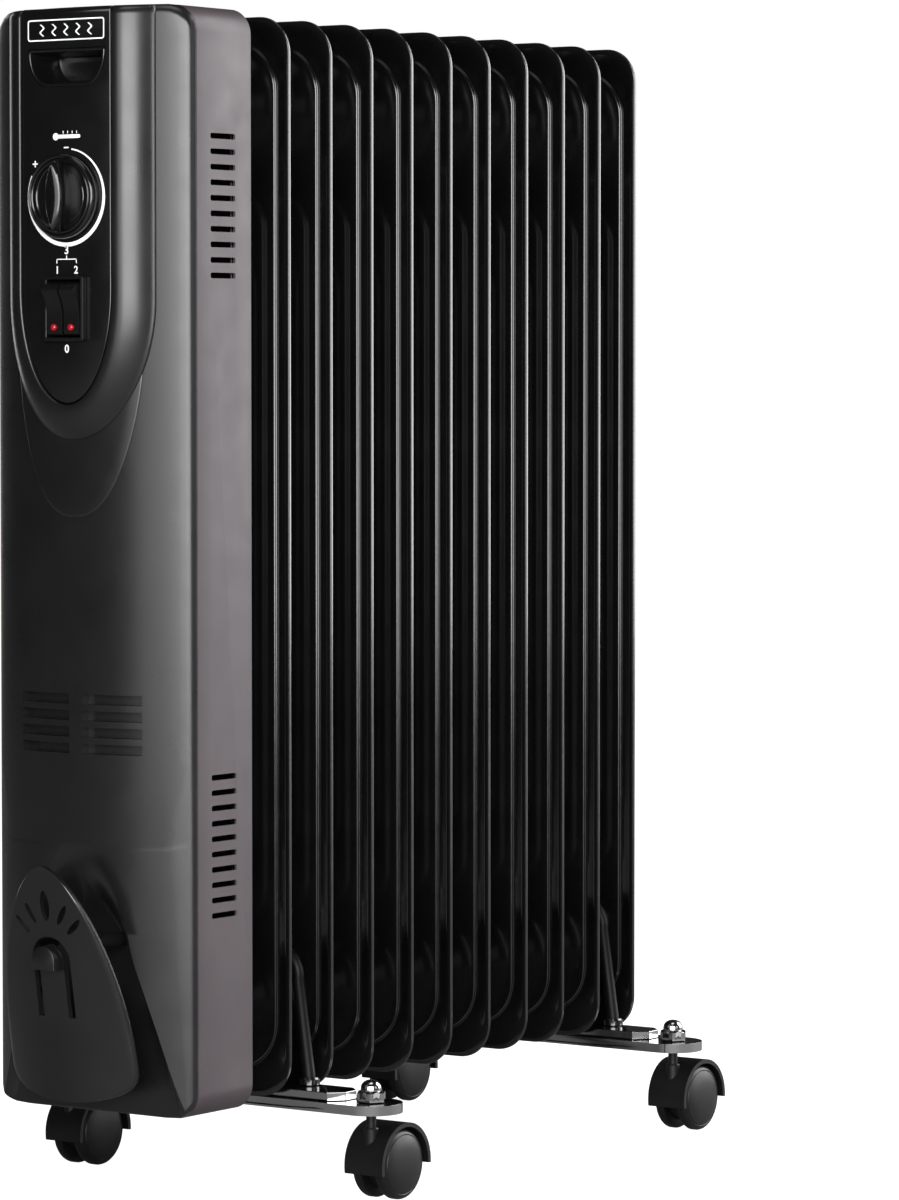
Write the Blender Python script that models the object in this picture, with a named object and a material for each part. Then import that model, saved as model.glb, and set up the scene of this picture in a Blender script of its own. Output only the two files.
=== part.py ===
"""Oil filled radiator heater: eleven pressed steel fins behind a control box, on four twin-wheel casters.

Metres, +Z up. The floor is Z = 0, the width runs along X, and the control panel faces -Y.
"""

from math import atan, atan2, cos, degrees, pi, radians, sin, sqrt

import bmesh
import bpy
from mathutils import Matrix, Vector
from mathutils.geometry import tessellate_polygon

MM = 0.001
GAP = 0.3 * MM

# Fin stack
FIN_COUNT = 11
FIN_PITCH = 37.78 * MM
FIN_HALF_WIDTH = 64.0 * MM
FIN_HEIGHT = 579.5 * MM
FIN_CORNER = 20.0 * MM
FIN_BOTTOM = 54.5 * MM
FIN_MIDDLE_Y = 38.08 * MM
RIM_HALF = 1.0 * MM
MARGIN = 13.0 * MM
MARGIN_FLARE = 5.0 * MM
PANEL_INSET = 16.0 * MM
PANEL_FRONT = 3.5 * MM
PANEL_BACK = 8.0 * MM
CHANNEL_RISE = 1.5 * MM
CHANNEL_HALF_WIDTH = 45.5 * MM
CHANNEL_CORNER = 20.0 * MM
CHANNEL_LOW = 92.0 * MM
CHANNEL_HIGH = 488.0 * MM
HEADER_FROM_END = 45.0 * MM
HEADER_BASE_RADIUS = 37.0 * MM
HEADER_NECK_RADIUS = 24.0 * MM
HEADER_BORE = 13.0 * MM

# Control box: sheet steel sleeve and moulded front cover
BOX_HALF_WIDTH = 65.7 * MM
BOX_BOTTOM = FIN_BOTTOM - 1.5 * MM
BOX_TOP = FIN_BOTTOM + 581.0 * MM
BOX_CORNER = 14.0 * MM
BOX_WALL = 1.2 * MM
BOX_REAR_Y = -149.32 * MM
SEAM_Y = -196.92 * MM
COVER_BULGE = 19.5 * MM
COVER_WALL = 2.3 * MM
VENT_LENGTH = 21.3 * MM
VENT_HEIGHT = 3.0 * MM
VENT_PITCH = 8.08 * MM
VENT_COUNT = 10
VENT_MIDDLE_Y = -173.92 * MM
SLOT_INNER = 4.5 * MM
SLOT_OUTER = 40.3 * MM
SLOT_HEIGHT = 5.3 * MM
SLOT_PITCH = 8.7 * MM
SLOT_ROWS = 4
SLOT_TOP = FIN_BOTTOM + 218.35 * MM
SLOT_DEPTH = 5.5 * MM
SLOT_WALL = 8.0 * MM
SLOT_WALL_HALF_WIDTH = 50.0 * MM
UPPER_VENTS_TOP = FIN_BOTTOM + 513.2 * MM
LOWER_VENTS_TOP = FIN_BOTTOM + 177.5 * MM

# Control panel
FASCIA_Y = -222.52 * MM
FASCIA_HALF_WIDTH = 29.6 * MM
FASCIA_THICK = 2.5 * MM
FASCIA_BEND_Z = FIN_BOTTOM + 433.0 * MM
FASCIA_DROP = 59.4 * MM
BEZEL_HALF_WIDTH = 48.4 * MM
BEZEL_BEND_Z = FIN_BOTTOM + 427.8 * MM
BEZEL_DROP = 73.4 * MM
PANEL_TOP = BOX_TOP - 1.0 * MM
KNOB_Z = FIN_BOTTOM + 481.6 * MM
KNOB_RADIUS = 22.0 * MM
KNOB_GRIP = 13.0 * MM
SHAFT_RADIUS = 3.0 * MM
SWITCH_Z = FIN_BOTTOM + 423.2 * MM
SWITCH_HALF_WIDTH = 13.4 * MM
SWITCH_HALF_HEIGHT = 17.0 * MM
SWITCH_PROUD = 3.3 * MM
ROCKER_OFFSET = 5.7 * MM
ROCKER_HALF = 5.1 * MM
ROCKER_REACH = 14.6 * MM
ROCKER_PIVOT_Y = FASCIA_Y + 2.0 * MM
HANDLE_TOP = FIN_BOTTOM + 559.0 * MM
HANDLE_HEIGHT = 20.0 * MM
HANDLE_HALF_TOP = 25.8 * MM
HANDLE_HALF_LOW = 14.8 * MM
HANDLE_DEPTH = 24.0 * MM

# Cord wrap plate
PLATE_TOP = FIN_BOTTOM + 132.5 * MM
PLATE_LOW = FIN_BOTTOM + 6.3 * MM
PLATE_THICK = 3.0 * MM
PLATE_TOP_Y = -246.42 * MM
CLIP_REACH = 7.0 * MM
CLIP_LOW = FIN_BOTTOM + 77.6 * MM
ARCH_Z = FIN_BOTTOM + 82.5 * MM
ARCH_OUTER = 12.4 * MM
ARCH_INNER = 8.1 * MM
ARCH_LOW = FIN_BOTTOM + 52.0 * MM
# Angle from upright, X, height above the fins' foot, length and half width, in millimetres.
PETALS = (
    (-46, -17.1, 100.8, 12.0, 1.6),
    (-31, -10.4, 106.9, 12.1, 1.6),
    (0, 0.0, 111.4, 16.2, 2.9),
    (31, 10.4, 106.9, 12.1, 1.6),
    (46, 17.1, 100.8, 12.0, 1.6),
)
POST_OFFSET = 19.0 * MM
POST_Z = FIN_BOTTOM + 91.5 * MM
RECESS_APEX = FIN_BOTTOM + 141.0 * MM

# Feet
STEM_X = 103.4 * MM
STEM_RADIUS = 2.75 * MM
STEM_HOLE = 3.15 * MM
STEM_GAPS = (3, 11)
BAR_TOP = FIN_BOTTOM - 0.9 * MM
BAR_THICK = 5.3 * MM
BAR_END = 17.0 * MM
CLAMP_HALF = 90.0 * MM
CLAMP_THICK = 4.5 * MM
U_RISE = 31.5 * MM
U_FOOT = 58.0 * MM
U_SLOPE = 0.147
U_BEND = 14.0 * MM
NUT_HEIGHT = 4.2 * MM
U_ROD = 3.5 * MM
NUT_FLATS = 14.5 * MM
CASTER_TRAIL = 15.2 * MM
WHEEL_RADIUS = 19.0 * MM
WHEEL_HALF = 12.5 * MM
WHEEL_INNER_FACE = 4.4 * MM
HOOD_WEB_HALF = 3.95 * MM
WHEEL_Z = WHEEL_RADIUS
HOOD_RADIUS = 22.7 * MM
HOOD_INNER = 20.3 * MM
AXLE_RADIUS = 2.5 * MM
AXLE_BORE = 2.75 * MM

MATERIALS = {}


def clear_scene():
    for obj in list(bpy.data.objects):
        bpy.data.objects.remove(obj, do_unlink=True)
    for mesh in list(bpy.data.meshes):
        bpy.data.meshes.remove(mesh)


def material(name, colour, metallic, roughness):
    if name not in MATERIALS:
        mat = bpy.data.materials.new(name)
        mat.use_nodes = True
        shader = mat.node_tree.nodes["Principled BSDF"]
        shader.inputs["Base Color"].default_value = (*colour, 1.0)
        shader.inputs["Metallic"].default_value = metallic
        shader.inputs["Roughness"].default_value = roughness
        mat.diffuse_color = (*colour, 1.0)
        MATERIALS[name] = mat
    return MATERIALS[name]


def enamel():
    return material("black_enamel", (0.012, 0.012, 0.013), 0.0, 0.16)


def box_paint():
    return material("box_paint", (0.17, 0.155, 0.165), 0.0, 0.45)


def satin_black():
    return material("satin_black", (0.035, 0.035, 0.036), 0.0, 0.35)


def fascia_black():
    return material("fascia_black", (0.01, 0.01, 0.01), 0.0, 0.3)


def matt_black():
    return material("matt_black", (0.018, 0.018, 0.019), 0.0, 0.5)


def chrome():
    return material("chrome", (0.75, 0.75, 0.76), 1.0, 0.1)


def lamp_red():
    return material("lamp_red", (0.55, 0.01, 0.03), 0.0, 0.2)


def zinc():
    return material("zinc_steel", (0.5, 0.5, 0.5), 1.0, 0.35)


def new_object(name, mesh, mat, parent=None, location=(0, 0, 0)):
    obj = bpy.data.objects.new(name, mesh)
    bpy.context.scene.collection.objects.link(obj)
    obj.location = location
    if parent is not None:
        obj.parent = parent
    if mat is not None and not mesh.materials:
        mesh.materials.append(mat)
    return obj


def solid(name, verts, faces, mat, parent=None, location=(0, 0, 0), smooth=True):
    """An object from vertices and faces, with every face turned outward and round pieces shaded smooth."""
    mesh = bpy.data.meshes.new(name)
    mesh.from_pydata([tuple(v) for v in verts], [], faces)
    bm = bmesh.new()
    bm.from_mesh(mesh)
    bmesh.ops.recalc_face_normals(bm, faces=bm.faces)
    if bm.calc_volume(signed=True) < 0:
        bmesh.ops.reverse_faces(bm, faces=bm.faces)
    bm.to_mesh(mesh)
    bm.free()
    if smooth:
        mesh.shade_smooth()
        mesh.set_sharp_from_angle(angle=radians(35))
    return new_object(name, mesh, mat, parent, location)


def hide_cutter(obj):
    obj.hide_render = True
    obj.display_type = "WIRE"
    return obj


def boolean(obj, tool, operation):
    """An exact Boolean whose tool stays in the scene as a hidden guide."""
    hide_cutter(tool)
    mod = obj.modifiers.new(tool.name, "BOOLEAN")
    mod.operation = operation
    mod.solver = "EXACT"
    mod.object = tool
    return obj


def arc(centre, radius, start, stop, steps):
    """Points (u, v) on an arc, both ends included, angles in degrees."""
    points = []
    for i in range(steps + 1):
        a = radians(start + (stop - start) * i / steps)
        points.append((centre[0] + radius * cos(a), centre[1] + radius * sin(a)))
    return points


def rounded_rect(half, low, high, radius, steps):
    """Counter-clockwise outline (x, z) of a rounded rectangle centred on x = 0."""
    points = []
    points += arc((half - radius, low + radius), radius, -90, 0, steps)
    points += arc((half - radius, high - radius), radius, 0, 90, steps)
    points += arc((-half + radius, high - radius), radius, 90, 180, steps)
    points += arc((-half + radius, low + radius), radius, 180, 270, steps)
    return points


def circle(centre, radius, count, phase=0.0):
    return [
        (
            centre[0] + radius * cos(2 * pi * (i + phase) / count),
            centre[1] + radius * sin(2 * pi * (i + phase) / count),
        )
        for i in range(count)
    ]


class Shell:
    """Collects rings of vertices and the faces between them."""

    def __init__(self):
        self.verts = []
        self.faces = []

    def ring(self, points, y):
        first = len(self.verts)
        self.verts += [(p[0], y, p[1]) for p in points]
        return list(range(first, len(self.verts)))

    def ring3(self, points):
        first = len(self.verts)
        self.verts += [tuple(p) for p in points]
        return list(range(first, len(self.verts)))

    def band(self, a, b, closed=True):
        count = len(a)
        for i in range(count if closed else count - 1):
            j = (i + 1) % count
            self.faces.append((a[i], a[j], b[j], b[i]))

    def cap(self, outer, holes=()):
        """Fills a flat outline, leaving the holes open."""
        if not holes and len(outer) <= 64:
            self.faces.append(tuple(outer))
            return
        loops = [outer, *holes]
        index = [i for loop in loops for i in loop]
        shape = [[Vector(self.verts[i]) for i in loop] for loop in loops]
        for tri in tessellate_polygon(shape):
            self.faces.append(tuple(index[i] for i in tri))

    def build(self, name, mat, parent=None, location=(0, 0, 0), smooth=True):
        return solid(name, self.verts, self.faces, mat, parent, location, smooth)


def prism_y(name, outline, y0, y1, mat, holes=(), smooth=True, parent=None, location=(0, 0, 0)):
    """A plate with outline (x, z) between two Y planes, with straight holes."""
    shell = Shell()
    front = shell.ring(outline, y0)
    back = shell.ring(outline, y1)
    shell.band(front, back)
    hole_front = [shell.ring(h, y0) for h in holes]
    hole_back = [shell.ring(h, y1) for h in holes]
    for a, b in zip(hole_front, hole_back):
        shell.band(a, b)
    shell.cap(front, hole_front)
    shell.cap(back, hole_back)
    return shell.build(name, mat, parent, location, smooth)


def prism_z(name, outline, z0, z1, mat, holes=(), smooth=True, parent=None, location=(0, 0, 0)):
    """A plate with outline (x, y) between two Z planes, with straight holes."""
    shell = Shell()
    rings = []
    for loop in (outline, *holes):
        low = shell.ring3([(p[0], p[1], z0) for p in loop])
        high = shell.ring3([(p[0], p[1], z1) for p in loop])
        shell.band(low, high)
        rings.append((low, high))
    shell.cap(rings[0][0], [r[0] for r in rings[1:]])
    shell.cap(rings[0][1], [r[1] for r in rings[1:]])
    return shell.build(name, mat, parent, location, smooth)


def prism_x(name, outline, x0, x1, mat, parent=None, location=(0, 0, 0), smooth=True):
    """A bar with side profile (y, z) between two X planes."""
    shell = Shell()
    low = shell.ring3([(x0, p[0], p[1]) for p in outline])
    high = shell.ring3([(x1, p[0], p[1]) for p in outline])
    shell.band(low, high)
    shell.cap(low)
    shell.cap(high)
    return shell.build(name, mat, parent, location, smooth)


def lathe(name, profile, count, matrix, mat, parent=None, location=(0, 0, 0)):
    """Turns a profile of (radius, height) about Z; a point of radius 0 closes the end on the axis."""
    verts = []
    rings = []
    for radius, height in profile:
        if radius == 0:
            rings.append([len(verts)])
            verts.append((0, 0, height))
            continue
        rings.append(list(range(len(verts), len(verts) + count)))
        verts += [(x, y, height) for x, y in circle((0, 0), radius, count)]
    faces = []
    for a, b in zip(rings, rings[1:]):
        for i in range(count):
            j = (i + 1) % count
            if len(a) == 1:
                faces.append((a[0], b[j], b[i]))
            elif len(b) == 1:
                faces.append((a[i], a[j], b[0]))
            else:
                faces.append((a[i], a[j], b[j], b[i]))
    if len(rings[0]) > 1 and len(rings[-1]) > 1:
        a, b = rings[-1], rings[0]
        for i in range(count):
            j = (i + 1) % count
            faces.append((a[i], a[j], b[j], b[i]))
    verts = [matrix @ Vector(v) for v in verts]
    return solid(name, verts, faces, mat, parent, location)


TOWARD_FRONT = Matrix.Rotation(radians(90), 4, "X")
TOWARD_RIGHT = Matrix.Rotation(radians(90), 4, "Y")
UPRIGHT = Matrix.Identity(4)


def at(x, y, z, rotation=UPRIGHT):
    return Matrix.Translation((x, y, z)) @ rotation


def empty(name, location):
    obj = bpy.data.objects.new(name, None)
    obj.empty_display_size = 0.02
    bpy.context.scene.collection.objects.link(obj)
    obj.location = location
    return obj


# ---------------------------------------------------------------- fins


def fin_y(number):
    return FIN_MIDDLE_Y + (number - (FIN_COUNT + 1) / 2) * FIN_PITCH


def neck_y(number):
    """Where this fin's header boss meets the boss of the fin in front."""
    return fin_y(number) + PANEL_FRONT - (FIN_PITCH - PANEL_BACK + PANEL_FRONT) / 2


def fin_mesh(name, last):
    """Two pressed sheets seamed at the rim, with a flared margin, oil channels and round header bosses."""
    shell = Shell()

    def outline(inset):
        radius = max(FIN_CORNER - inset * 0.25, FIN_CORNER * 0.5)
        return rounded_rect(FIN_HALF_WIDTH - inset, inset, FIN_HEIGHT - inset, radius, 4)

    rim_front = shell.ring(outline(0), -RIM_HALF)
    rim_back = shell.ring(outline(0), RIM_HALF)
    shell.band(rim_front, rim_back)
    reach = (FIN_PITCH - PANEL_BACK + PANEL_FRONT) / 2 - GAP / 2
    end_reach = 6.0 * MM
    for side, panel, rim in ((-1, PANEL_FRONT, rim_front), (1, PANEL_BACK, rim_back)):
        crease = shell.ring(outline(MARGIN), MARGIN_FLARE + (0.0 if side < 0 else 1.4 * MM))
        edge = shell.ring(outline(PANEL_INSET), panel)
        shell.band(rim, crease)
        shell.band(crease, edge)
        holes = []
        for header, bored in ((HEADER_FROM_END, True), (FIN_HEIGHT - HEADER_FROM_END, False)):
            centre = (0, header)
            rise = end_reach if last and side > 0 else reach
            top_radius = 30.0 * MM if last and side > 0 else HEADER_NECK_RADIUS
            base = shell.ring(circle(centre, HEADER_BASE_RADIUS, 12, 0.5), panel)
            top = shell.ring(circle(centre, top_radius, 12, 0.5), panel + side * rise)
            shell.band(base, top)
            holes.append(base)
            if bored and not last:
                bore = shell.ring(circle(centre, HEADER_BORE, 12, 0.5), panel + side * rise)
                shell.band(top, bore)
                if side < 0:
                    front_bore = bore
                else:
                    shell.band(front_bore, bore)
            else:
                shell.cap(top)
        pad_outline = rounded_rect(CHANNEL_HALF_WIDTH, CHANNEL_LOW, CHANNEL_HIGH, CHANNEL_CORNER, 4)
        step = 2 * MM
        pad_inner = rounded_rect(
            CHANNEL_HALF_WIDTH - step, CHANNEL_LOW + step, CHANNEL_HIGH - step, CHANNEL_CORNER - step, 4
        )
        pad = shell.ring(pad_outline, panel)
        pad_top = shell.ring(pad_inner, panel + side * CHANNEL_RISE)
        shell.band(pad, pad_top)
        shell.cap(pad_top)
        shell.cap(edge, [*holes, pad])
    obj = shell.build(name, enamel())
    return obj


def build_fins():
    first = fin_mesh("fin_01", False)
    first.location = (0, fin_y(1), FIN_BOTTOM)
    for number in range(2, FIN_COUNT):
        new_object(f"fin_{number:02d}", first.data, None, None, (0, fin_y(number), FIN_BOTTOM))
    end = fin_mesh(f"fin_{FIN_COUNT:02d}", True)
    end.location = (0, fin_y(FIN_COUNT), FIN_BOTTOM)


# ---------------------------------------------------------------- control box


def build_box_shell():
    """Open sleeve over the first fin, with ten upper and ten lower vents on each side."""
    shell = Shell()
    outer = rounded_rect(BOX_HALF_WIDTH, BOX_BOTTOM, BOX_TOP, BOX_CORNER, 5)
    inner = rounded_rect(
        BOX_HALF_WIDTH - BOX_WALL, BOX_BOTTOM + BOX_WALL, BOX_TOP - BOX_WALL, BOX_CORNER - BOX_WALL, 5
    )
    front_outer = shell.ring(outer, SEAM_Y + GAP)
    back_outer = shell.ring(outer, BOX_REAR_Y)
    front_inner = shell.ring(inner, SEAM_Y + GAP)
    back_inner = shell.ring(inner, BOX_REAR_Y)
    shell.band(front_outer, back_outer)
    shell.band(front_inner, back_inner)
    shell.band(front_outer, front_inner)
    shell.band(back_outer, back_inner)
    obj = shell.build("control_box_shell", box_paint())
    cutter = Shell()
    for side in (-1, 1):
        for top in (UPPER_VENTS_TOP, LOWER_VENTS_TOP):
            for i in range(VENT_COUNT):
                z = top - i * VENT_PITCH
                y0 = VENT_MIDDLE_Y - VENT_LENGTH / 2
                y1 = VENT_MIDDLE_Y + VENT_LENGTH / 2
                slot = [(y0, z - VENT_HEIGHT / 2), (y1, z - VENT_HEIGHT / 2)]
                slot += [(y1, z + VENT_HEIGHT / 2), (y0, z + VENT_HEIGHT / 2)]
                x = side * BOX_HALF_WIDTH
                low = cutter.ring3([(x - 3 * MM, *p) for p in slot])
                high = cutter.ring3([(x + 3 * MM, *p) for p in slot])
                cutter.band(low, high)
                cutter.cap(low)
                cutter.cap(high)
    boolean(obj, cutter.build("vent_cutter", None), "DIFFERENCE")


def cover_profile(x):
    """How far the cover stands in front of its seam at this width."""
    t = min(abs(x) / BOX_HALF_WIDTH, 1.0)
    return COVER_BULGE * (1 - t**2.3)


def recess_edge(z):
    """Half width of the cord recess where it meets the cover's face."""
    t = (RECESS_APEX - z) / (RECESS_APEX - BOX_BOTTOM)
    if t <= 0:
        return 0.0
    return (61.6 * MM) * t**0.66


def recess_floor(z):
    """How far the recess floor stands in front of the seam."""
    start = FIN_BOTTOM + 108 * MM
    t = max(0.0, (z - start) / (RECESS_APEX - start))
    return 3.2 * MM + (COVER_BULGE - 3.2 * MM) * t**1.5


def cover_columns(z):
    """Widths of the mesh columns at this height; below the apex they follow the recess."""
    half = BOX_HALF_WIDTH
    plain = [1.0, 0.94, 0.86, 0.74, 0.6, 0.42, 0.22]
    edge = recess_edge(z)
    if edge <= 0:
        columns = [half * p for p in plain]
    else:
        wall = min(6 * MM, edge * 0.45)
        mid = edge + (half - edge) * 0.5
        columns = [half, mid + (half - mid) * 0.5, mid, edge, edge - wall * 0.35, edge - wall]
        columns.append((edge - wall) * 0.5)
    return columns + [0.0] + [-c for c in reversed(columns)]


def cover_depth(x, z):
    depth = cover_profile(x)
    edge = recess_edge(z)
    if edge <= 0 or abs(x) >= edge:
        return depth
    wall = min(6 * MM, edge * 0.45)
    t = min(1.0, (edge - abs(x)) / wall)
    t = t * t * (3 - 2 * t)
    floor = min(recess_floor(z), cover_profile(edge))
    return cover_profile(edge) * (1 - t) + floor * t


def cover_height(x, z, inset):
    """Moves a row to follow the rounded corners of the cover."""
    middle = (BOX_BOTTOM + BOX_TOP) / 2
    corner = BOX_CORNER - inset
    start = BOX_HALF_WIDTH - BOX_CORNER
    over = min(max(0.0, abs(x) - start), corner)
    drop = corner - sqrt(corner * corner - over * over)
    span = middle - BOX_BOTTOM - inset
    return middle + (z - middle) * (span - drop) / (middle - BOX_BOTTOM)


def cover_wall(x, z):
    """Wall thickness of the cover; the front vents are blind, so the wall behind them is deeper."""
    middle = SLOT_TOP - (SLOT_ROWS - 1) * SLOT_PITCH / 2
    beside_slots = abs(z - middle) < (SLOT_ROWS + 1) * SLOT_PITCH / 2 and abs(x) < SLOT_WALL_HALF_WIDTH
    return SLOT_WALL if beside_slots else COVER_WALL


def build_slot_cutter():
    """Eight front vents, blind pockets whose floors follow the curve of the cover."""
    cutter = Shell()
    steps = 3
    for side in (-1, 1):
        across = [side * (SLOT_INNER + (SLOT_OUTER - SLOT_INNER) * i / steps) for i in range(steps + 1)]
        outline = [(x, SEAM_Y - COVER_BULGE - 3 * MM) for x in across]
        outline += [(x, SEAM_Y - cover_profile(x) + SLOT_DEPTH) for x in reversed(across)]
        for row in range(SLOT_ROWS):
            z = SLOT_TOP - row * SLOT_PITCH
            low = cutter.ring3([(x, y, z - SLOT_HEIGHT / 2) for x, y in outline])
            high = cutter.ring3([(x, y, z + SLOT_HEIGHT / 2) for x, y in outline])
            cutter.band(low, high)
            cutter.cap(low)
            cutter.cap(high)
    return cutter.build("slot_cutter", None)


def build_front_cover():
    """Moulded shell whose face is curved across its width, with the tapering cord recess at its foot."""
    heights = [0.0, 1.6, 12, 34, 58, 80, 100, 112, 122, 130, 137, 141, 148, 181, 186.5, 226.5, 232, 250]
    heights += [354, 430, 500, 572, 579, 582.5]
    last = len(heights) - 1
    softness = {0: 0.8, last - 1: 0.92, last: 0.72}
    rows_out = []
    rows_in = []
    shell = Shell()
    for j, height in enumerate(heights):
        z = BOX_BOTTOM + min(height * MM, BOX_TOP - BOX_BOTTOM)
        soft = softness.get(j, 1.0)
        outer = []
        inner = []
        for x in cover_columns(z):
            depth = cover_depth(x, z)
            outer.append((x, SEAM_Y - depth * soft, cover_height(x, z, 0.0)))
            x_in = x * (BOX_HALF_WIDTH - COVER_WALL) / BOX_HALF_WIDTH
            inside = abs(x) < BOX_HALF_WIDTH * 0.97
            depth_in = max(depth * soft - cover_wall(x, z), 0.0) if inside else 0.0
            inner.append((x_in, SEAM_Y - depth_in, cover_height(x_in, z, COVER_WALL)))
        rows_out.append(shell.ring3(outer))
        rows_in.append(shell.ring3(inner))
    for rows in (rows_out, rows_in):
        for a, b in zip(rows, rows[1:]):
            shell.band(a, b, closed=False)
    seam_out = []
    seam_in = []
    for rows, seam in ((rows_out, seam_out), (rows_in, seam_in)):
        for end in (0, -1):
            row = rows[end]
            points = [shell.verts[i] for i in row[1:-1]]
            wall = shell.ring3([(p[0], SEAM_Y, p[2]) for p in points])
            full = [row[0], *wall, row[-1]]
            shell.faces.append((row[0], row[1], wall[0]))
            shell.band(row[1:-1], wall, closed=False)
            shell.faces.append((row[-2], row[-1], wall[-1]))
            seam.append(full)
    for end in (0, 1):
        shell.band(seam_out[end], seam_in[end], closed=False)
    for column in (0, -1):
        shell.band([r[column] for r in rows_out], [r[column] for r in rows_in], closed=False)
    obj = shell.build("front_cover", satin_black())
    front = SEAM_Y - 40 * MM
    back = SEAM_Y - 6 * MM
    cup = prism_y("cover_handle_hole", handle_outline(-2.2 * MM), front, back, None)
    boolean(obj, cup, "DIFFERENCE")
    shaft = prism_y("cover_shaft_hole", circle((0, KNOB_Z), SHAFT_RADIUS + 1.2 * MM, 12), front, back, None)
    boolean(obj, shaft, "DIFFERENCE")
    half_w = SWITCH_HALF_WIDTH - 1.0 * MM
    half_h = SWITCH_HALF_HEIGHT - 1.0 * MM
    opening = rounded_rect(half_w, SWITCH_Z - half_h, SWITCH_Z + half_h, 1 * MM, 1)
    boolean(obj, prism_y("cover_switch_hole", opening, front, back, None), "DIFFERENCE")
    boolean(obj, build_slot_cutter(), "DIFFERENCE")
    return obj


def handle_outline(inset):
    """D-shaped outline of the hand recess, flat on top and narrower below."""
    top = HANDLE_TOP - inset
    low = HANDLE_TOP - HANDLE_HEIGHT + inset
    wide = HANDLE_HALF_TOP - inset
    narrow = HANDLE_HALF_LOW - inset * 0.5
    knee = low + HANDLE_HEIGHT * 0.22
    right = [(narrow * 0.9, low), (narrow * 1.12, low + (knee - low) * 0.4), (wide * 0.8, knee + 3 * MM)]
    right += [(wide * 0.96, top - 5 * MM), (wide, top - 2 * MM), (wide * 0.98, top)]
    return right + [(-x, z) for x, z in reversed(right)]


def u_outline(half, bend_z, drop, top, steps):
    """U-shaped outline (x, z): straight sides with a half ellipse below, from top right round to top left."""
    points = [(half, top), (half, (top + bend_z) / 2), (half, bend_z)]
    for i in range(1, steps):
        a = pi * i / steps
        points.append((half * cos(a), bend_z - drop * sin(a)))
    points += [(-half, bend_z), (-half, (top + bend_z) / 2), (-half, top)]
    return points


def build_bezel():
    """Raised U-shaped surround that slopes from the panel down to the curved cover."""
    steps = 14
    shell = Shell()
    outer = u_outline(BEZEL_HALF_WIDTH, BEZEL_BEND_Z, BEZEL_DROP, PANEL_TOP, steps)
    inner = u_outline(
        FASCIA_HALF_WIDTH + GAP, FASCIA_BEND_Z, FASCIA_DROP + GAP, PANEL_TOP, steps
    )
    lip_y = FASCIA_Y - 0.9 * MM
    stations = []
    for (xo, zo), (xi, zi) in zip(outer, inner):
        def mix(t, xo=xo, zo=zo, xi=xi, zi=zi):
            return xi + (xo - xi) * t, zi + (zo - zi) * t

        def skin(t, mix=mix):
            return SEAM_Y - cover_profile(mix(t)[0])

        edge_y = skin(1.0) - 1.6 * MM
        section = [(0.0, lip_y + 0.6 * MM), (0.05, lip_y)]
        for t in (0.3, 0.6, 0.85):
            section.append((t, lip_y + (edge_y - lip_y) * (t**1.7)))
        section.append((0.97, edge_y + 0.1 * MM))
        section.append((1.0, skin(1.0) - GAP))
        section.append((0.5, skin(0.5) - GAP))
        section.append((0.0, skin(0.0) - GAP))
        stations.append(shell.ring3([(mix(t)[0], y, mix(t)[1]) for t, y in section]))
    for a, b in zip(stations, stations[1:]):
        shell.band(a, b)
    shell.faces.append(tuple(stations[0]))
    shell.faces.append(tuple(stations[-1]))
    shell.build("control_bezel", satin_black())


def build_fascia():
    outline = u_outline(FASCIA_HALF_WIDTH, FASCIA_BEND_Z, FASCIA_DROP, PANEL_TOP, 14)
    half_w = SWITCH_HALF_WIDTH - 0.6 * MM
    half_h = SWITCH_HALF_HEIGHT - 0.6 * MM
    switch_hole = rounded_rect(half_w, SWITCH_Z - half_h, SWITCH_Z + half_h, 1 * MM, 1)
    shaft_hole = circle((0, KNOB_Z), SHAFT_RADIUS + 0.6 * MM, 12)
    holes = (switch_hole, shaft_hole, handle_outline(0.0))
    prism_y("control_fascia", outline, FASCIA_Y, FASCIA_Y + FASCIA_THICK, fascia_black(), holes)


def build_handle_cup():
    """Hand recess with a slanted floor, open to the front."""
    shell = Shell()
    rim_y = FASCIA_Y - 0.2 * MM
    deep_y = FASCIA_Y + HANDLE_DEPTH
    mouth = shell.ring(handle_outline(0.4 * MM), rim_y)
    outside = shell.ring(handle_outline(1.8 * MM), deep_y)
    inside_mouth = shell.ring(handle_outline(1.9 * MM), rim_y)
    inside = shell.ring(handle_outline(3.6 * MM), deep_y - 1.6 * MM)
    shell.band(mouth, outside)
    shell.band(mouth, inside_mouth)
    shell.band(inside_mouth, inside)
    shell.cap(outside)
    shell.cap(inside)
    shell.build("handle_cup", fascia_black())


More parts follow.
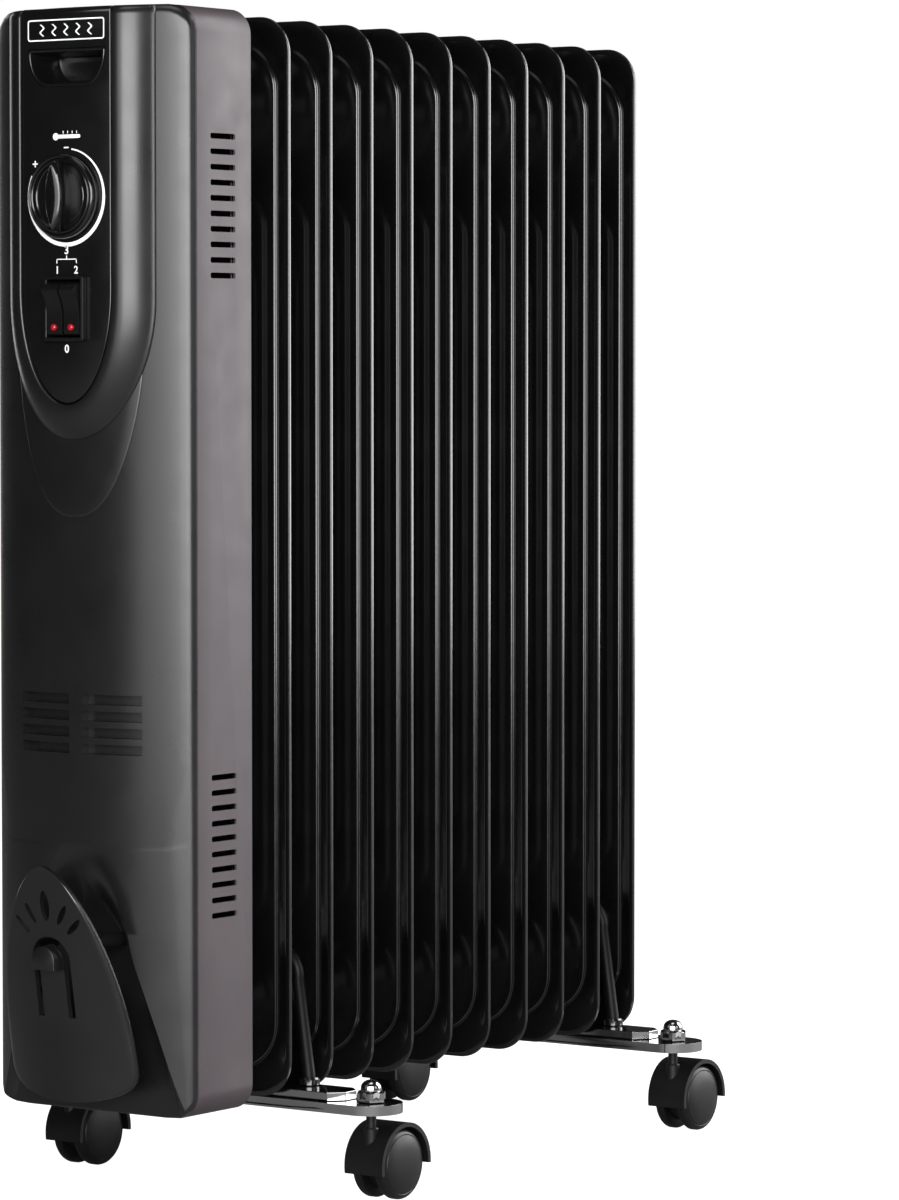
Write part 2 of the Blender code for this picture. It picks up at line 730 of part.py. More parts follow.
def build_knob():
    """Dished dial with a lens-shaped grip, turning on a shaft that ends in the thermostat."""
    pivot = empty("thermostat_axis", (0, FASCIA_Y, KNOB_Z))
    profile = [
        (0, 3.2 * MM),
        (14 * MM, 3.2 * MM),
        (19.4 * MM, 5.6 * MM),
        (20.8 * MM, 5.9 * MM),
        (KNOB_RADIUS - 0.3 * MM, 4.8 * MM),
        (KNOB_RADIUS, 0.4 * MM),
        (SHAFT_RADIUS, 0.4 * MM),
        (SHAFT_RADIUS, -13 * MM),
        (0, -13 * MM),
    ]
    dial = lathe("thermostat_knob", profile, 28, TOWARD_FRONT, satin_black(), pivot)
    shell = Shell()
    low = 2.0 * MM
    length = 19.4 * MM
    rings = []
    for height, scale_x, scale_z in ((low, 6.0, 1.0), (8 * MM, 5.0, 0.96), (KNOB_GRIP, 1.4, 0.86)):
        points = []
        count = 10
        for i in range(count):
            a = 2 * pi * i / count
            points.append((scale_x * MM * sin(a), length * scale_z * cos(a)))
        rings.append(shell.ring(points, -height))
    shell.band(rings[0], rings[1])
    shell.band(rings[1], rings[2])
    shell.cap(rings[0])
    shell.cap(rings[2])
    grip = shell.build("knob_grip", None, pivot)
    boolean(dial, grip, "UNION")
    body_profile = [
        (SHAFT_RADIUS + 0.6 * MM, -10.5 * MM),
        (16 * MM, -10.5 * MM),
        (16 * MM, -27 * MM),
        (0, -27 * MM),
        (0, -15 * MM),
        (SHAFT_RADIUS + 0.6 * MM, -15 * MM),
    ]
    verts_profile = [body_profile[4], body_profile[5], body_profile[0], body_profile[1], body_profile[2]]
    verts_profile.append(body_profile[3])
    matrix = at(0, FASCIA_Y, KNOB_Z, TOWARD_FRONT)
    lathe("thermostat_body", verts_profile, 16, matrix, zinc())


def build_switches():
    frame_low = SWITCH_Z - SWITCH_HALF_HEIGHT
    frame_top = SWITCH_Z + SWITCH_HALF_HEIGHT
    shell = Shell()
    flange = rounded_rect(SWITCH_HALF_WIDTH, frame_low, frame_top, 1.2 * MM, 1)
    neck = rounded_rect(
        SWITCH_HALF_WIDTH - 1.3 * MM, frame_low + 1.3 * MM, frame_top - 1.3 * MM, 1 * MM, 1
    )
    mouth = rounded_rect(
        ROCKER_OFFSET + ROCKER_HALF + 0.5 * MM, SWITCH_Z - ROCKER_REACH - 0.5 * MM,
        SWITCH_Z + ROCKER_REACH + 0.5 * MM, 0.5 * MM, 1,
    )
    front = shell.ring(mouth, FASCIA_Y - SWITCH_PROUD)
    face = shell.ring(flange, FASCIA_Y - SWITCH_PROUD + 0.5 * MM)
    back = shell.ring(flange, FASCIA_Y - GAP)
    step = shell.ring(neck, FASCIA_Y - GAP)
    tail = shell.ring(neck, FASCIA_Y + 14 * MM)
    tail_in = shell.ring(mouth, FASCIA_Y + 14 * MM)
    loops = [front, face, back, step, tail, tail_in]
    for a, b in zip(loops, loops[1:]):
        shell.band(a, b)
    shell.band(tail_in, front)
    shell.build("switch_frame", matt_black())
    pivot_y = ROCKER_PIVOT_Y
    for name, side in (("low", -1), ("med", 1)):
        x = side * ROCKER_OFFSET
        axis = empty(f"rocker_{name}_axis", (x, pivot_y, SWITCH_Z))
        profile = [(-7.6, 12.4), (-9.8, 10.6), (-9.9, 9.0), (-7.4, 5.2), (-5.6, 0.0), (-5.2, -6.0)]
        profile += [(-5.6, -13.3), (-2.0, -14.4), (3.0, -14.0), (6.5, -8.0)]
        profile += [(7.5, 0.0), (6.5, 8.0), (3.0, 14.0), (-2.0, 14.4)]
        points = [(y * MM, z * MM) for y, z in profile]
        prism_x(f"rocker_{name}", points, -ROCKER_HALF, ROCKER_HALF, matt_black(), axis)
        lens = [(0, 0.0), (1.75 * MM, 0.0), (1.75 * MM, 0.5 * MM), (1.1 * MM, 1.2 * MM), (0, 1.4 * MM)]
        lathe(f"lamp_{name}", lens, 12, at(0, -5.75 * MM, -9.8 * MM, TOWARD_FRONT), lamp_red(), axis)


# ---------------------------------------------------------------- cord wrap


def plate_half_width(z):
    """Teardrop outline of the cord plate."""
    t = (PLATE_TOP - z) / (PLATE_TOP - PLATE_LOW)
    t = min(max(t, 0.0), 1.0)
    upper = 41.8 * MM * (1 - (1 - min(t / 0.86, 1.0)) ** 2.1) ** 0.62
    if t <= 0.86:
        return upper
    u = (t - 0.86) / 0.14
    return 41.8 * MM * sqrt(max(0.0, 1 - u**2.4))


def plate_face(x, z):
    """Y of the plate's front face: it leans out at the top and is crowned across."""
    t = (PLATE_TOP - z) / (PLATE_TOP - PLATE_LOW)
    return PLATE_TOP_Y + (23 * t - 3 * t * t) * MM + (2.2 + 4 * t) * x * x


def build_cord_plate():
    shell = Shell()
    levels = [0.0, 0.02, 0.07, 0.15, 0.27, 0.42, 0.58, 0.74, 0.86, 0.93, 0.975, 1.0]
    columns = (-1.0, -0.9, -0.45, 0.45, 0.9, 1.0)
    fronts = []
    backs = []
    for level in levels[1:-1]:
        z = PLATE_TOP - (PLATE_TOP - PLATE_LOW) * level
        half = plate_half_width(z)
        front = []
        back = []
        for c in columns:
            x = half * c
            y = plate_face(x, z)
            soft = 0.9 * MM if abs(c) == 1.0 else 0.0
            front.append((x, y + soft, z))
            back.append((x, y + PLATE_THICK - soft * 0.4, z))
        fronts.append(shell.ring3(front))
        backs.append(shell.ring3(back))
    for rows in (fronts, backs):
        for a, b in zip(rows, rows[1:]):
            shell.band(a, b, closed=False)
    for column in (0, -1):
        shell.band([r[column] for r in fronts], [r[column] for r in backs], closed=False)
    for z, row in ((PLATE_TOP, 0), (PLATE_LOW, -1)):
        y = plate_face(0, z)
        tip = shell.ring3([(0, y + 0.9 * MM, z), (0, y + PLATE_THICK - 0.4 * MM, z)])
        for rows, end in ((fronts, tip[0]), (backs, tip[1])):
            line = rows[row]
            for a, b in zip(line, line[1:]):
                shell.faces.append((a, b, end))
        for side in (0, -1):
            shell.faces.append((fronts[row][side], backs[row][side], tip[1], tip[0]))
    plate = shell.build("cord_plate", satin_black())
    floor_y = SEAM_Y - 3.2 * MM - GAP
    for side in (-1, 1):
        x = side * POST_OFFSET
        top = plate_face(x, POST_Z) + 1.5 * MM
        post = [(0, -floor_y), (3.9 * MM, -floor_y), (3.9 * MM, -top), (0, -top)]
        tool = lathe(f"plate_post_{side + 1}", post, 12, at(x, 0, POST_Z, TOWARD_FRONT), None)
        boolean(plate, tool, "UNION")
    foot_z = FIN_BOTTOM + 26 * MM
    top = plate_face(0, foot_z) + 1.5 * MM
    post = [(0, -floor_y), (3.9 * MM, -floor_y), (3.9 * MM, -top), (0, -top)]
    boolean(plate, lathe("plate_foot", post, 12, at(0, 0, foot_z, TOWARD_FRONT), None), "UNION")
    arch = arc((0, ARCH_Z), ARCH_OUTER, 0, 180, 8)
    tongue = arc((0, ARCH_Z), ARCH_INNER, 180, 0, 8)
    slot = [(ARCH_OUTER, ARCH_LOW), *arch, (-ARCH_OUTER, ARCH_LOW), (-ARCH_INNER, ARCH_LOW)]
    slot += [*tongue, (ARCH_INNER, ARCH_LOW)]
    front = PLATE_TOP_Y - 10 * MM
    back = SEAM_Y - 22 * MM
    boolean(plate, prism_y("clip_slot", slot, front, back, None), "DIFFERENCE")
    half = ARCH_INNER - 0.3 * MM
    tab = [(half, CLIP_LOW), *arc((0, ARCH_Z), half, 0, 180, 8), (-half, CLIP_LOW)]
    tab_y = plate_face(0, ARCH_Z)
    tool = prism_y("clip_tab", tab, tab_y - CLIP_REACH, tab_y + 1.6 * MM, None)
    boolean(plate, tool, "UNION")
    petals = Shell()
    for angle, x, z, length, half in PETALS:
        a = radians(90 - angle)
        along = Vector((cos(a), sin(a)))
        across = Vector((-sin(a), cos(a)))
        centre = Vector((x * MM, FIN_BOTTOM + z * MM))
        points = []
        for i in range(8):
            b = 2 * pi * i / 8
            points.append(centre + along * (length / 2 * MM * cos(b)) + across * (half * MM * sin(b)))
        near = petals.ring(points, front)
        far = petals.ring(points, back)
        petals.band(near, far)
        petals.cap(near)
        petals.cap(far)
    boolean(plate, petals.build("petal_cutter", None), "DIFFERENCE")
    gland = [(5.0, 0.0), (8.5, 0.0), (8.5, 2.0), (6.5, 2.6), (6.0, 9.0), (4.2, 9.0), (4.0, 0.0)]
    gland = [(r * MM, h * MM) for r, h in gland[1:]]
    matrix = at(0, SEAM_Y - 3.2 * MM - GAP, FIN_BOTTOM + 56 * MM, TOWARD_FRONT)
    lathe("cord_gland", gland, 14, matrix, matt_black())


# ---------------------------------------------------------------- heating parts


def build_heating_parts():
    front_boss = neck_y(1)
    z = FIN_BOTTOM + HEADER_FROM_END
    rod = 3.4 * MM
    bend = 6.5 * MM
    start_y = front_boss - 14 * MM
    end_y = fin_y(FIN_COUNT - 2)
    path = [Vector((bend, start_y, z)), Vector((bend, end_y, z))]
    for i in range(1, 6):
        a = pi * i / 6
        path.append(Vector((bend * cos(a), end_y + bend * sin(a), z)))
    path += [Vector((-bend, end_y, z)), Vector((-bend, start_y, z))]
    tube("heating_element", path, rod, 8, zinc())
    holes = [circle((x, z), rod + GAP + 0.2 * MM, 8) for x in (bend, -bend)]
    flange_y = front_boss - GAP
    outline = circle((0, z), 21 * MM, 20)
    prism_y("element_flange", outline, flange_y - 6 * MM, flange_y, zinc(), holes)
    plug_z = FIN_BOTTOM + FIN_HEIGHT - HEADER_FROM_END
    plug = [(0, 0), (11 * MM, 0), (11 * MM, 2 * MM), (7 * MM, 2 * MM), (7 * MM, 7 * MM), (0, 7 * MM)]
    lathe("oil_fill_plug", plug, 12, at(0, flange_y, plug_z, TOWARD_FRONT), zinc())


def tube(name, path, radius, count, mat, parent=None):
    """A round rod swept along a path, with square ends."""
    shell = Shell()
    rings = []
    up = Vector((0, 0, 1))
    for i, point in enumerate(path):
        before = path[max(i - 1, 0)]
        after = path[min(i + 1, len(path) - 1)]
        ahead = (after - before).normalized()
        side = ahead.cross(up)
        if side.length < 0.1:
            side = ahead.cross(Vector((0, 1, 0)))
        side.normalize()
        top = side.cross(ahead).normalized()
        rings.append(shell.ring3([point + side * u + top * v for u, v in circle((0, 0), radius, count, 0.5)]))
    for a, b in zip(rings, rings[1:]):
        shell.band(a, b)
    shell.cap(rings[0])
    shell.cap(rings[-1])
    return shell.build(name, mat, parent)


def arch_tube(name, y, mat):
    """U-bolt over a header: a flat-topped arch with two spreading legs, in one plane across the fins."""
    centre_z = FIN_BOTTOM + HEADER_FROM_END
    foot_z = BAR_TOP - BAR_THICK + 0.3 * MM
    bend_z = BAR_TOP + CLAMP_THICK + 4 * MM
    lean = atan(U_SLOPE)
    bend = centre_z + U_RISE - U_BEND
    lowest = bend - U_BEND * sin(lean)
    middle_x = U_FOOT - U_SLOPE * (lowest - bend_z) - U_BEND * cos(lean)
    half = [(U_FOOT, foot_z), (U_FOOT, bend_z)]
    half += arc((middle_x, bend), U_BEND, -degrees(lean), 90, 5)
    half += [(0, centre_z + U_RISE)]
    path = [Vector((x, y, z)) for x, z in half]
    path += [Vector((-x, y, z)) for x, z in reversed(half[:-1])]
    shell = Shell()
    rings = []
    along_y = Vector((0, 1, 0))
    for i, point in enumerate(path):
        before = path[max(i - 1, 0)]
        after = path[min(i + 1, len(path) - 1)]
        ahead = (after - before).normalized()
        side = ahead.cross(along_y).normalized()
        rings.append(shell.ring3([point + side * u + along_y * v for u, v in circle((0, 0), U_ROD, 8, 0.5)]))
    for a, b in zip(rings, rings[1:]):
        shell.band(a, b)
    shell.cap(rings[0])
    shell.cap(rings[-1])
    shell.build(name, mat)


# ---------------------------------------------------------------- feet


def hexagon(centre, flats):
    return circle(centre, flats / sqrt(3), 6)


def build_foot_bar(end, y, bolt_y):
    """Flat chromed bar with rounded ends, held to the lower header by a U-bolt through a clamp plate."""
    outline = arc((STEM_X, y), BAR_END, -90, 90, 8)
    outline += arc((-STEM_X, y), BAR_END, 90, 270, 8)
    holes = [circle((x, y), STEM_HOLE, 12) for x in (-STEM_X, STEM_X)]
    holes += [circle((x, bolt_y), U_ROD + 0.5 * MM, 10) for x in (-U_FOOT, U_FOOT)]
    prism_z(f"foot_bar_{end}", outline, BAR_TOP - BAR_THICK, BAR_TOP, chrome(), holes)
    half = 12 * MM
    cut = 7 * MM
    corner = [(CLAMP_HALF - cut, y - half), (CLAMP_HALF, y - half + cut)]
    plate = corner + [(x, 2 * y - v) for x, v in reversed(corner)]
    plate += [(-x, 2 * y - v) for x, v in plate]
    low = BAR_TOP + GAP
    prism_z(f"clamp_plate_{end}", plate, low, low + CLAMP_THICK, chrome(), holes[2:], smooth=False)
    arch_tube(f"u_bolt_{end}", bolt_y, matt_black())
    for side, label in ((-1, "left"), (1, "right")):
        hole = circle((side * U_FOOT, bolt_y), U_ROD + 0.6 * MM, 8)
        nut = hexagon((side * U_FOOT, bolt_y), 11.5 * MM)
        nut_low = low + CLAMP_THICK + GAP
        nut_top = nut_low + NUT_HEIGHT
        prism_z(f"clamp_nut_{end}_{label}", nut, nut_low, nut_top, matt_black(), [hole], smooth=False)


def build_hood():
    """Half-round caster hood with a web between the wheels, an axle and an upright boss for the stem."""
    length = WHEEL_HALF
    outline = arc((0, 0), HOOD_RADIUS, -4, 190, 12)
    outline += arc((0, 0), HOOD_INNER, 190, -4, 12)
    hood = prism_x("caster_hood", outline, -length, length, matt_black())
    web = arc((0, 0), HOOD_INNER + 1 * MM, 0, 180, 10) + arc((0, 0), 14 * MM, 200, 340, 6)
    boolean(hood, prism_x("hood_web", web, -HOOD_WEB_HALF, HOOD_WEB_HALF, None), "UNION")
    axle = [(0, -length + 2 * MM), (AXLE_RADIUS, -length + 2 * MM), (AXLE_RADIUS, length - 2 * MM)]
    axle.append((0, length - 2 * MM))
    boolean(hood, lathe("hood_axle", axle, 12, TOWARD_RIGHT, None), "UNION")
    top = HOOD_RADIUS - 1.6 * MM
    boss = [(0, 4 * MM), (4.1 * MM, 6 * MM), (4.1 * MM, top - 0.8 * MM), (3.6 * MM, top), (0, top)]
    boolean(hood, lathe("hood_boss", boss, 14, at(0, -CASTER_TRAIL, 0), None), "UNION")
    bore = [(0, 9 * MM), (STEM_HOLE, 9 * MM), (STEM_HOLE, top + 4 * MM), (0, top + 4 * MM)]
    boolean(hood, lathe("hood_bore", bore, 12, at(0, -CASTER_TRAIL, 0), None), "DIFFERENCE")
    return hood


def build_wheel():
    """One of a caster's two wheels: a tyre with a domed outer disc and a blind axle bore."""
    profile = [
        (0, 10.9),
        (AXLE_BORE / MM, 10.9),
        (AXLE_BORE / MM, WHEEL_INNER_FACE / MM),
        (17.4, WHEEL_INNER_FACE / MM),
        (19.0, 5.6),
        (19.0, 8.6),
        (17.6, 10.6),
        (12.0, 12.1),
        (0, 12.7),
    ]
    profile = [(r * MM, h * MM) for r, h in profile]
    return lathe("caster_wheel", profile, 18, TOWARD_RIGHT, matt_black())


def applied_mesh(obj, name):
    """The mesh of an object with its Booleans applied, for copies that share it."""
    bpy.context.view_layer.update()
    graph = bpy.context.evaluated_depsgraph_get()
    return bpy.data.meshes.new_from_object(obj.evaluated_get(graph))


def build_casters():
    hood = build_hood()
    wheel = build_wheel()
    hood_mesh = applied_mesh(hood, "caster_hood")
    wheel_mesh = wheel.data
    tools = [mod.object for mod in hood.modifiers]
    for obj in (hood, wheel, *tools):
        bpy.data.objects.remove(obj, do_unlink=True)
    bar_bottom = BAR_TOP - BAR_THICK
    for end, gap in zip(("front", "rear"), STEM_GAPS):
        y = fin_y(gap) - FIN_PITCH / 2
        for label, side in (("left", -1), ("right", 1)):
            x = side * STEM_X
            where = f"{end}_{label}"
            swivel = empty(f"swivel_{where}", (x, y, WHEEL_Z))
            new_object(f"caster_hood_{where}", hood_mesh, None, swivel, (0, CASTER_TRAIL, 0))
            for part, turn in (("outer", 0.0), ("inner", pi)):
                turned = turn if side > 0 else pi - turn
                obj = new_object(f"wheel_{where}_{part}", wheel_mesh, None, swivel, (0, CASTER_TRAIL, 0))
                obj.rotation_euler = (0, 0, turned)
            low = WHEEL_Z + 10 * MM
            stem = [(0, low), (STEM_RADIUS, low), (STEM_RADIUS, BAR_TOP), (0, BAR_TOP)]
            lathe(f"caster_stem_{where}", stem, 12, at(x, y, 0), matt_black())
            build_acorn_nut(f"acorn_nut_{where}", x, y)
    return bar_bottom


def build_acorn_nut(name, x, y):
    """Hexagonal nut with a domed cap, seated on the bar."""
    low = BAR_TOP + GAP
    shell = Shell()
    base = shell.ring3([(px, py, low) for px, py in hexagon((x, y), NUT_FLATS)])
    top = shell.ring3([(px, py, low + 5.6 * MM) for px, py in hexagon((x, y), NUT_FLATS)])
    shell.band(base, top)
    shell.cap(base)
    rings = []
    for radius, height in ((5.6, 5.6), (5.5, 8.2), (4.6, 10.4), (2.6, 11.9)):
        rings.append(shell.ring3([(px, py, low + height * MM) for px, py in circle((x, y), radius * MM, 12)]))
    shell.cap(top, [rings[0]])
    for a, b in zip(rings, rings[1:]):
        shell.band(a, b)
    shell.cap(rings[-1])
    shell.build(name, chrome())


def main():
    clear_scene()
    build_fins()
    build_box_shell()
    build_front_cover()
    build_bezel()
    build_fascia()
    build_handle_cup()
    build_knob()
    build_switches()
    build_cord_plate()
    build_heating_parts()
    for end, gap in zip(("front", "rear"), STEM_GAPS):
        build_foot_bar(end, fin_y(gap) - FIN_PITCH / 2, neck_y(gap))
    build_casters()


main()
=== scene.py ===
"""Looks of an oil filled radiator heater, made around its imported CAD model."""

from math import atan, cos, degrees, pi, radians, sin, sqrt

import bmesh
import bpy
from mathutils import Matrix, Vector
from mathutils.geometry import tessellate_polygon


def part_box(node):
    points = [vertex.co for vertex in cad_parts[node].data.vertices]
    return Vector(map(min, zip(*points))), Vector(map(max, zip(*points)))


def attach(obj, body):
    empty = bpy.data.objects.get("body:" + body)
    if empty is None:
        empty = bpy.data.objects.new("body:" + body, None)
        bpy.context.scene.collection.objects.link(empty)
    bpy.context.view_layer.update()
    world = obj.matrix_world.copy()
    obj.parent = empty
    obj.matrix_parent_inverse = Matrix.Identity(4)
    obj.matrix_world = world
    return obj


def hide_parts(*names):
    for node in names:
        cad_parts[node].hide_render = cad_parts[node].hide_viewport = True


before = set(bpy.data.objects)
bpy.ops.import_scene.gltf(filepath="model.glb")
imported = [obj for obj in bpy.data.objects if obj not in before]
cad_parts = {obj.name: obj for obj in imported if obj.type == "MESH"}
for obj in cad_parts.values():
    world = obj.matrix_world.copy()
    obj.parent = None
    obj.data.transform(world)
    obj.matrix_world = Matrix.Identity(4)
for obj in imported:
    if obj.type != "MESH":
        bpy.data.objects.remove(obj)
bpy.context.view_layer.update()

MM = 0.001
GAP = 0.3 * MM
ROOT = "heater"

# ---- places, from the frame

FIN_COUNT = 11
FINS = [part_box(f"fin_{n:02d}") for n in range(1, FIN_COUNT + 1)]
FIN_PITCH = FINS[1][0].y - FINS[0][0].y
FIN_HALF_WIDTH = FINS[0][1].x
FIN_BOTTOM = FINS[0][0].z
FIN_HEIGHT = FINS[0][1].z - FIN_BOTTOM
PANEL_FRONT = 3.5 * MM
PANEL_BACK = 8.0 * MM
BOSS_REACH = (FIN_PITCH - PANEL_BACK + PANEL_FRONT) / 2 - GAP / 2
HEADER_FROM_END = 45.0 * MM
HEADER_BORE = 13.0 * MM

SHELL_LOW, SHELL_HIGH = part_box("control_box_shell")
BOX_HALF_WIDTH = SHELL_HIGH.x
BOX_BOTTOM = SHELL_LOW.z
BOX_TOP = SHELL_HIGH.z
BOX_REAR_Y = SHELL_HIGH.y
BOX_CORNER = 14.0 * MM
BOX_WALL = 1.2 * MM
SEAM_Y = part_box("front_cover")[1].y
COVER_BULGE = SEAM_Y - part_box("front_cover")[0].y
COVER_WALL = 2.3 * MM
VENT_LENGTH = 21.3 * MM
VENT_HEIGHT = 3.0 * MM
VENT_PITCH = 8.08 * MM
VENT_COUNT = 10
VENT_MIDDLE_Y = SEAM_Y + 23.0 * MM
VENT_TOPS = (FIN_BOTTOM + 513.2 * MM, FIN_BOTTOM + 177.5 * MM)

FASCIA_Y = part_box("control_fascia")[0].y
FASCIA_HALF_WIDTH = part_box("control_fascia")[1].x
FASCIA_THICK = 2.5 * MM
FASCIA_BEND_Z = FIN_BOTTOM + 433.0 * MM
FASCIA_DROP = FASCIA_BEND_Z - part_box("control_fascia")[0].z
BEZEL_HALF_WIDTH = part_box("control_bezel")[1].x
BEZEL_BEND_Z = FIN_BOTTOM + 427.8 * MM
BEZEL_DROP = BEZEL_BEND_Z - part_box("control_bezel")[0].z
PANEL_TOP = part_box("control_fascia")[1].z
KNOB_Z = (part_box("thermostat_knob")[0].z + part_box("thermostat_knob")[1].z) / 2
KNOB_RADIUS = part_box("thermostat_knob")[1].x
SHAFT_RADIUS = 3.0 * MM
SWITCH_LOW, SWITCH_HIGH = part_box("switch_frame")
SWITCH_Z = (SWITCH_LOW.z + SWITCH_HIGH.z) / 2
SWITCH_HALF_WIDTH = SWITCH_HIGH.x
SWITCH_HALF_HEIGHT = (SWITCH_HIGH.z - SWITCH_LOW.z) / 2
SWITCH_FACE_Y = SWITCH_LOW.y
ROCKER_OFFSET = 5.7 * MM
ROCKER_HALF = 5.1 * MM
ROCKER_REACH = 14.6 * MM
ROCKER_PIVOT_Y = FASCIA_Y + 2.0 * MM
HANDLE_TOP = FIN_BOTTOM + 559.0 * MM
HANDLE_HEIGHT = 20.0 * MM
HANDLE_HALF_TOP = 25.8 * MM
HANDLE_HALF_LOW = 14.8 * MM
HANDLE_DEPTH = 24.0 * MM

PLATE_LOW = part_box("cord_plate")[0].z
PLATE_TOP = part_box("cord_plate")[1].z
PLATE_THICK = 3.0 * MM
PLATE_HALF = 41.8 * MM
PLATE_WIDEST = 0.86
PLATE_TOP_Y = SEAM_Y - 49.5 * MM
CLIP_LOW = FIN_BOTTOM + 77.6 * MM
ARCH_Z = FIN_BOTTOM + 82.5 * MM
ARCH_OUTER = 12.4 * MM
ARCH_INNER = 8.1 * MM
ARCH_LOW = FIN_BOTTOM + 52.0 * MM
RECESS_APEX = FIN_BOTTOM + 141.0 * MM
RECESS_FLOOR = 3.2 * MM

BAR_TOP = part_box("foot_bar_front")[1].z
BAR_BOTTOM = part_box("foot_bar_front")[0].z
BAR_END = 17.0 * MM
CLAMP_THICK = 4.5 * MM
U_FOOT = 58.0 * MM
U_RISE = 31.5 * MM
U_SLOPE = 0.147
U_BEND = 14.0 * MM
U_ROD = 3.5 * MM
NUT_FLATS = 14.5 * MM
STEM_RADIUS = 2.75 * MM
CASTER_TRAIL = 15.2 * MM
WHEEL_HALF = 12.5 * MM
HOOD_RADIUS = 22.7 * MM
HOOD_INNER = 20.3 * MM
HOOD_WEB_HALF = 3.95 * MM


# ---- outlines and meshes


def arc(centre, radius, start, stop, steps):
    points = []
    for i in range(steps + 1):
        a = radians(start + (stop - start) * i / steps)
        points.append((centre[0] + radius * cos(a), centre[1] + radius * sin(a)))
    return points


def rounded_rect(half, low, high, radius, steps):
    """Counter-clockwise outline (x, z) centred on x = 0."""
    right = half - radius
    corners = ((right, low + radius), (right, high - radius), (-right, high - radius), (-right, low + radius))
    points = []
    for i, corner in enumerate(corners):
        points += arc(corner, radius, 90 * i - 90, 90 * i, steps)
    return points


def circle(centre, radius, count, phase=0.0):
    turn = 2 * pi / count
    return [
        (centre[0] + radius * cos(turn * (i + phase)), centre[1] + radius * sin(turn * (i + phase)))
        for i in range(count)
    ]


def rounded(points, rounds):
    """Corner cutting: each round replaces every corner by two points on its sides."""
    for _ in range(rounds):
        cut = []
        for (x0, z0), (x1, z1) in zip(points, points[1:] + points[:1]):
            cut.append((x0 * 0.75 + x1 * 0.25, z0 * 0.75 + z1 * 0.25))
            cut.append((x0 * 0.25 + x1 * 0.75, z0 * 0.25 + z1 * 0.75))
        points = cut
    return points


class Shell:
    """Collects rings of vertices and the faces between them."""

    def __init__(self):
        self.verts = []
        self.faces = []

    def ring(self, points, y):
        return self.ring3([(p[0], y, p[1]) for p in points])

    def ring3(self, points):
        first = len(self.verts)
        self.verts += [tuple(p) for p in points]
        return list(range(first, len(self.verts)))

    def band(self, a, b, closed=True):
        count = len(a)
        for i in range(count if closed else count - 1):
            j = (i + 1) % count
            self.faces.append((a[i], a[j], b[j], b[i]))

    def loft(self, rings, closed=True):
        for a, b in zip(rings, rings[1:]):
            self.band(a, b, closed)

    def cap(self, outer, holes=()):
        if not holes and len(outer) <= 12:
            self.faces.append(tuple(outer))
            return
        loops = [outer, *holes]
        index = [i for loop in loops for i in loop]
        shape = [[Vector(self.verts[i]) for i in loop] for loop in loops]
        for tri in tessellate_polygon(shape):
            self.faces.append(tuple(index[i] for i in tri))

    def solid(self, rings):
        self.loft(rings)
        self.cap(rings[0])
        self.cap(rings[-1])

    def build(self, name, angle=35):
        mesh = bpy.data.meshes.new(name)
        mesh.from_pydata(self.verts, [], self.faces)
        bm = bmesh.new()
        bm.from_mesh(mesh)
        bmesh.ops.recalc_face_normals(bm, faces=bm.faces)
        if bm.calc_volume(signed=True) < 0:
            bmesh.ops.reverse_faces(bm, faces=bm.faces)
        bm.to_mesh(mesh)
        bm.free()
        mesh.shade_smooth()
        mesh.set_sharp_from_angle(angle=radians(angle))
        return link(name, mesh)


def link(name, mesh):
    obj = bpy.data.objects.new(name, mesh)
    bpy.context.scene.collection.objects.link(obj)
    return obj


def prism(name, outline, low, high, place, holes=(), angle=35):
    """A plate between two levels; place(u, v, level) gives a point of it."""
    shell = Shell()
    sides = []
    for loop in (outline, *holes):
        a = shell.ring3([place(*p, low) for p in loop])
        b = shell.ring3([place(*p, high) for p in loop])
        shell.band(a, b)
        sides.append((a, b))
    for end in (0, 1):
        shell.cap(sides[0][end], [s[end] for s in sides[1:]])
    return shell.build(name, angle)


def along_x(y, z, x):
    return (x, y, z)


def along_y(x, z, y):
    return (x, y, z)


def along_z(x, y, z):
    return (x, y, z)


TOWARD_FRONT = Matrix.Rotation(radians(90), 4, "X")
TOWARD_RIGHT = Matrix.Rotation(radians(90), 4, "Y")
TOWARD_LEFT = Matrix.Rotation(radians(-90), 4, "Y")
UPRIGHT = Matrix.Identity(4)


def lathe(name, profile, place, count=64, angle=35):
    """Turns (radius, height) in millimetres about Z, closing on the axis at radius 0, then places it."""
    shell = Shell()
    rings = []
    for radius, height in profile:
        if radius == 0:
            rings.append(shell.ring3([place @ Vector((0, 0, height * MM))]))
            continue
        points = [place @ Vector((x, y, height * MM)) for x, y in circle((0, 0), radius * MM, count)]
        rings.append(shell.ring3(points))
    for a, b in zip(rings, rings[1:]):
        for i in range(count):
            j = (i + 1) % count
            if len(a) == 1:
                shell.faces.append((a[0], b[j], b[i]))
            elif len(b) == 1:
                shell.faces.append((a[i], a[j], b[0]))
            else:
                shell.faces.append((a[i], a[j], b[j], b[i]))
    if len(rings[0]) > 1:
        shell.band(rings[-1], rings[0])
    return shell.build(name, angle)


def at(x, y, z, rotation=UPRIGHT):
    return Matrix.Translation((x, y, z)) @ rotation


def combine(obj, tool, operation="DIFFERENCE"):
    """A Boolean that is applied at once; the tool is used up."""
    mod = obj.modifiers.new("cut", "BOOLEAN")
    mod.operation = operation
    mod.solver = "EXACT"
    mod.object = tool
    bpy.context.view_layer.update()
    graph = bpy.context.evaluated_depsgraph_get()
    mesh = bpy.data.meshes.new_from_object(obj.evaluated_get(graph))
    obj.modifiers.clear()
    obj.data = mesh
    bpy.data.objects.remove(tool, do_unlink=True)
    mesh.shade_smooth()
    mesh.set_sharp_from_angle(angle=radians(30))
    return obj


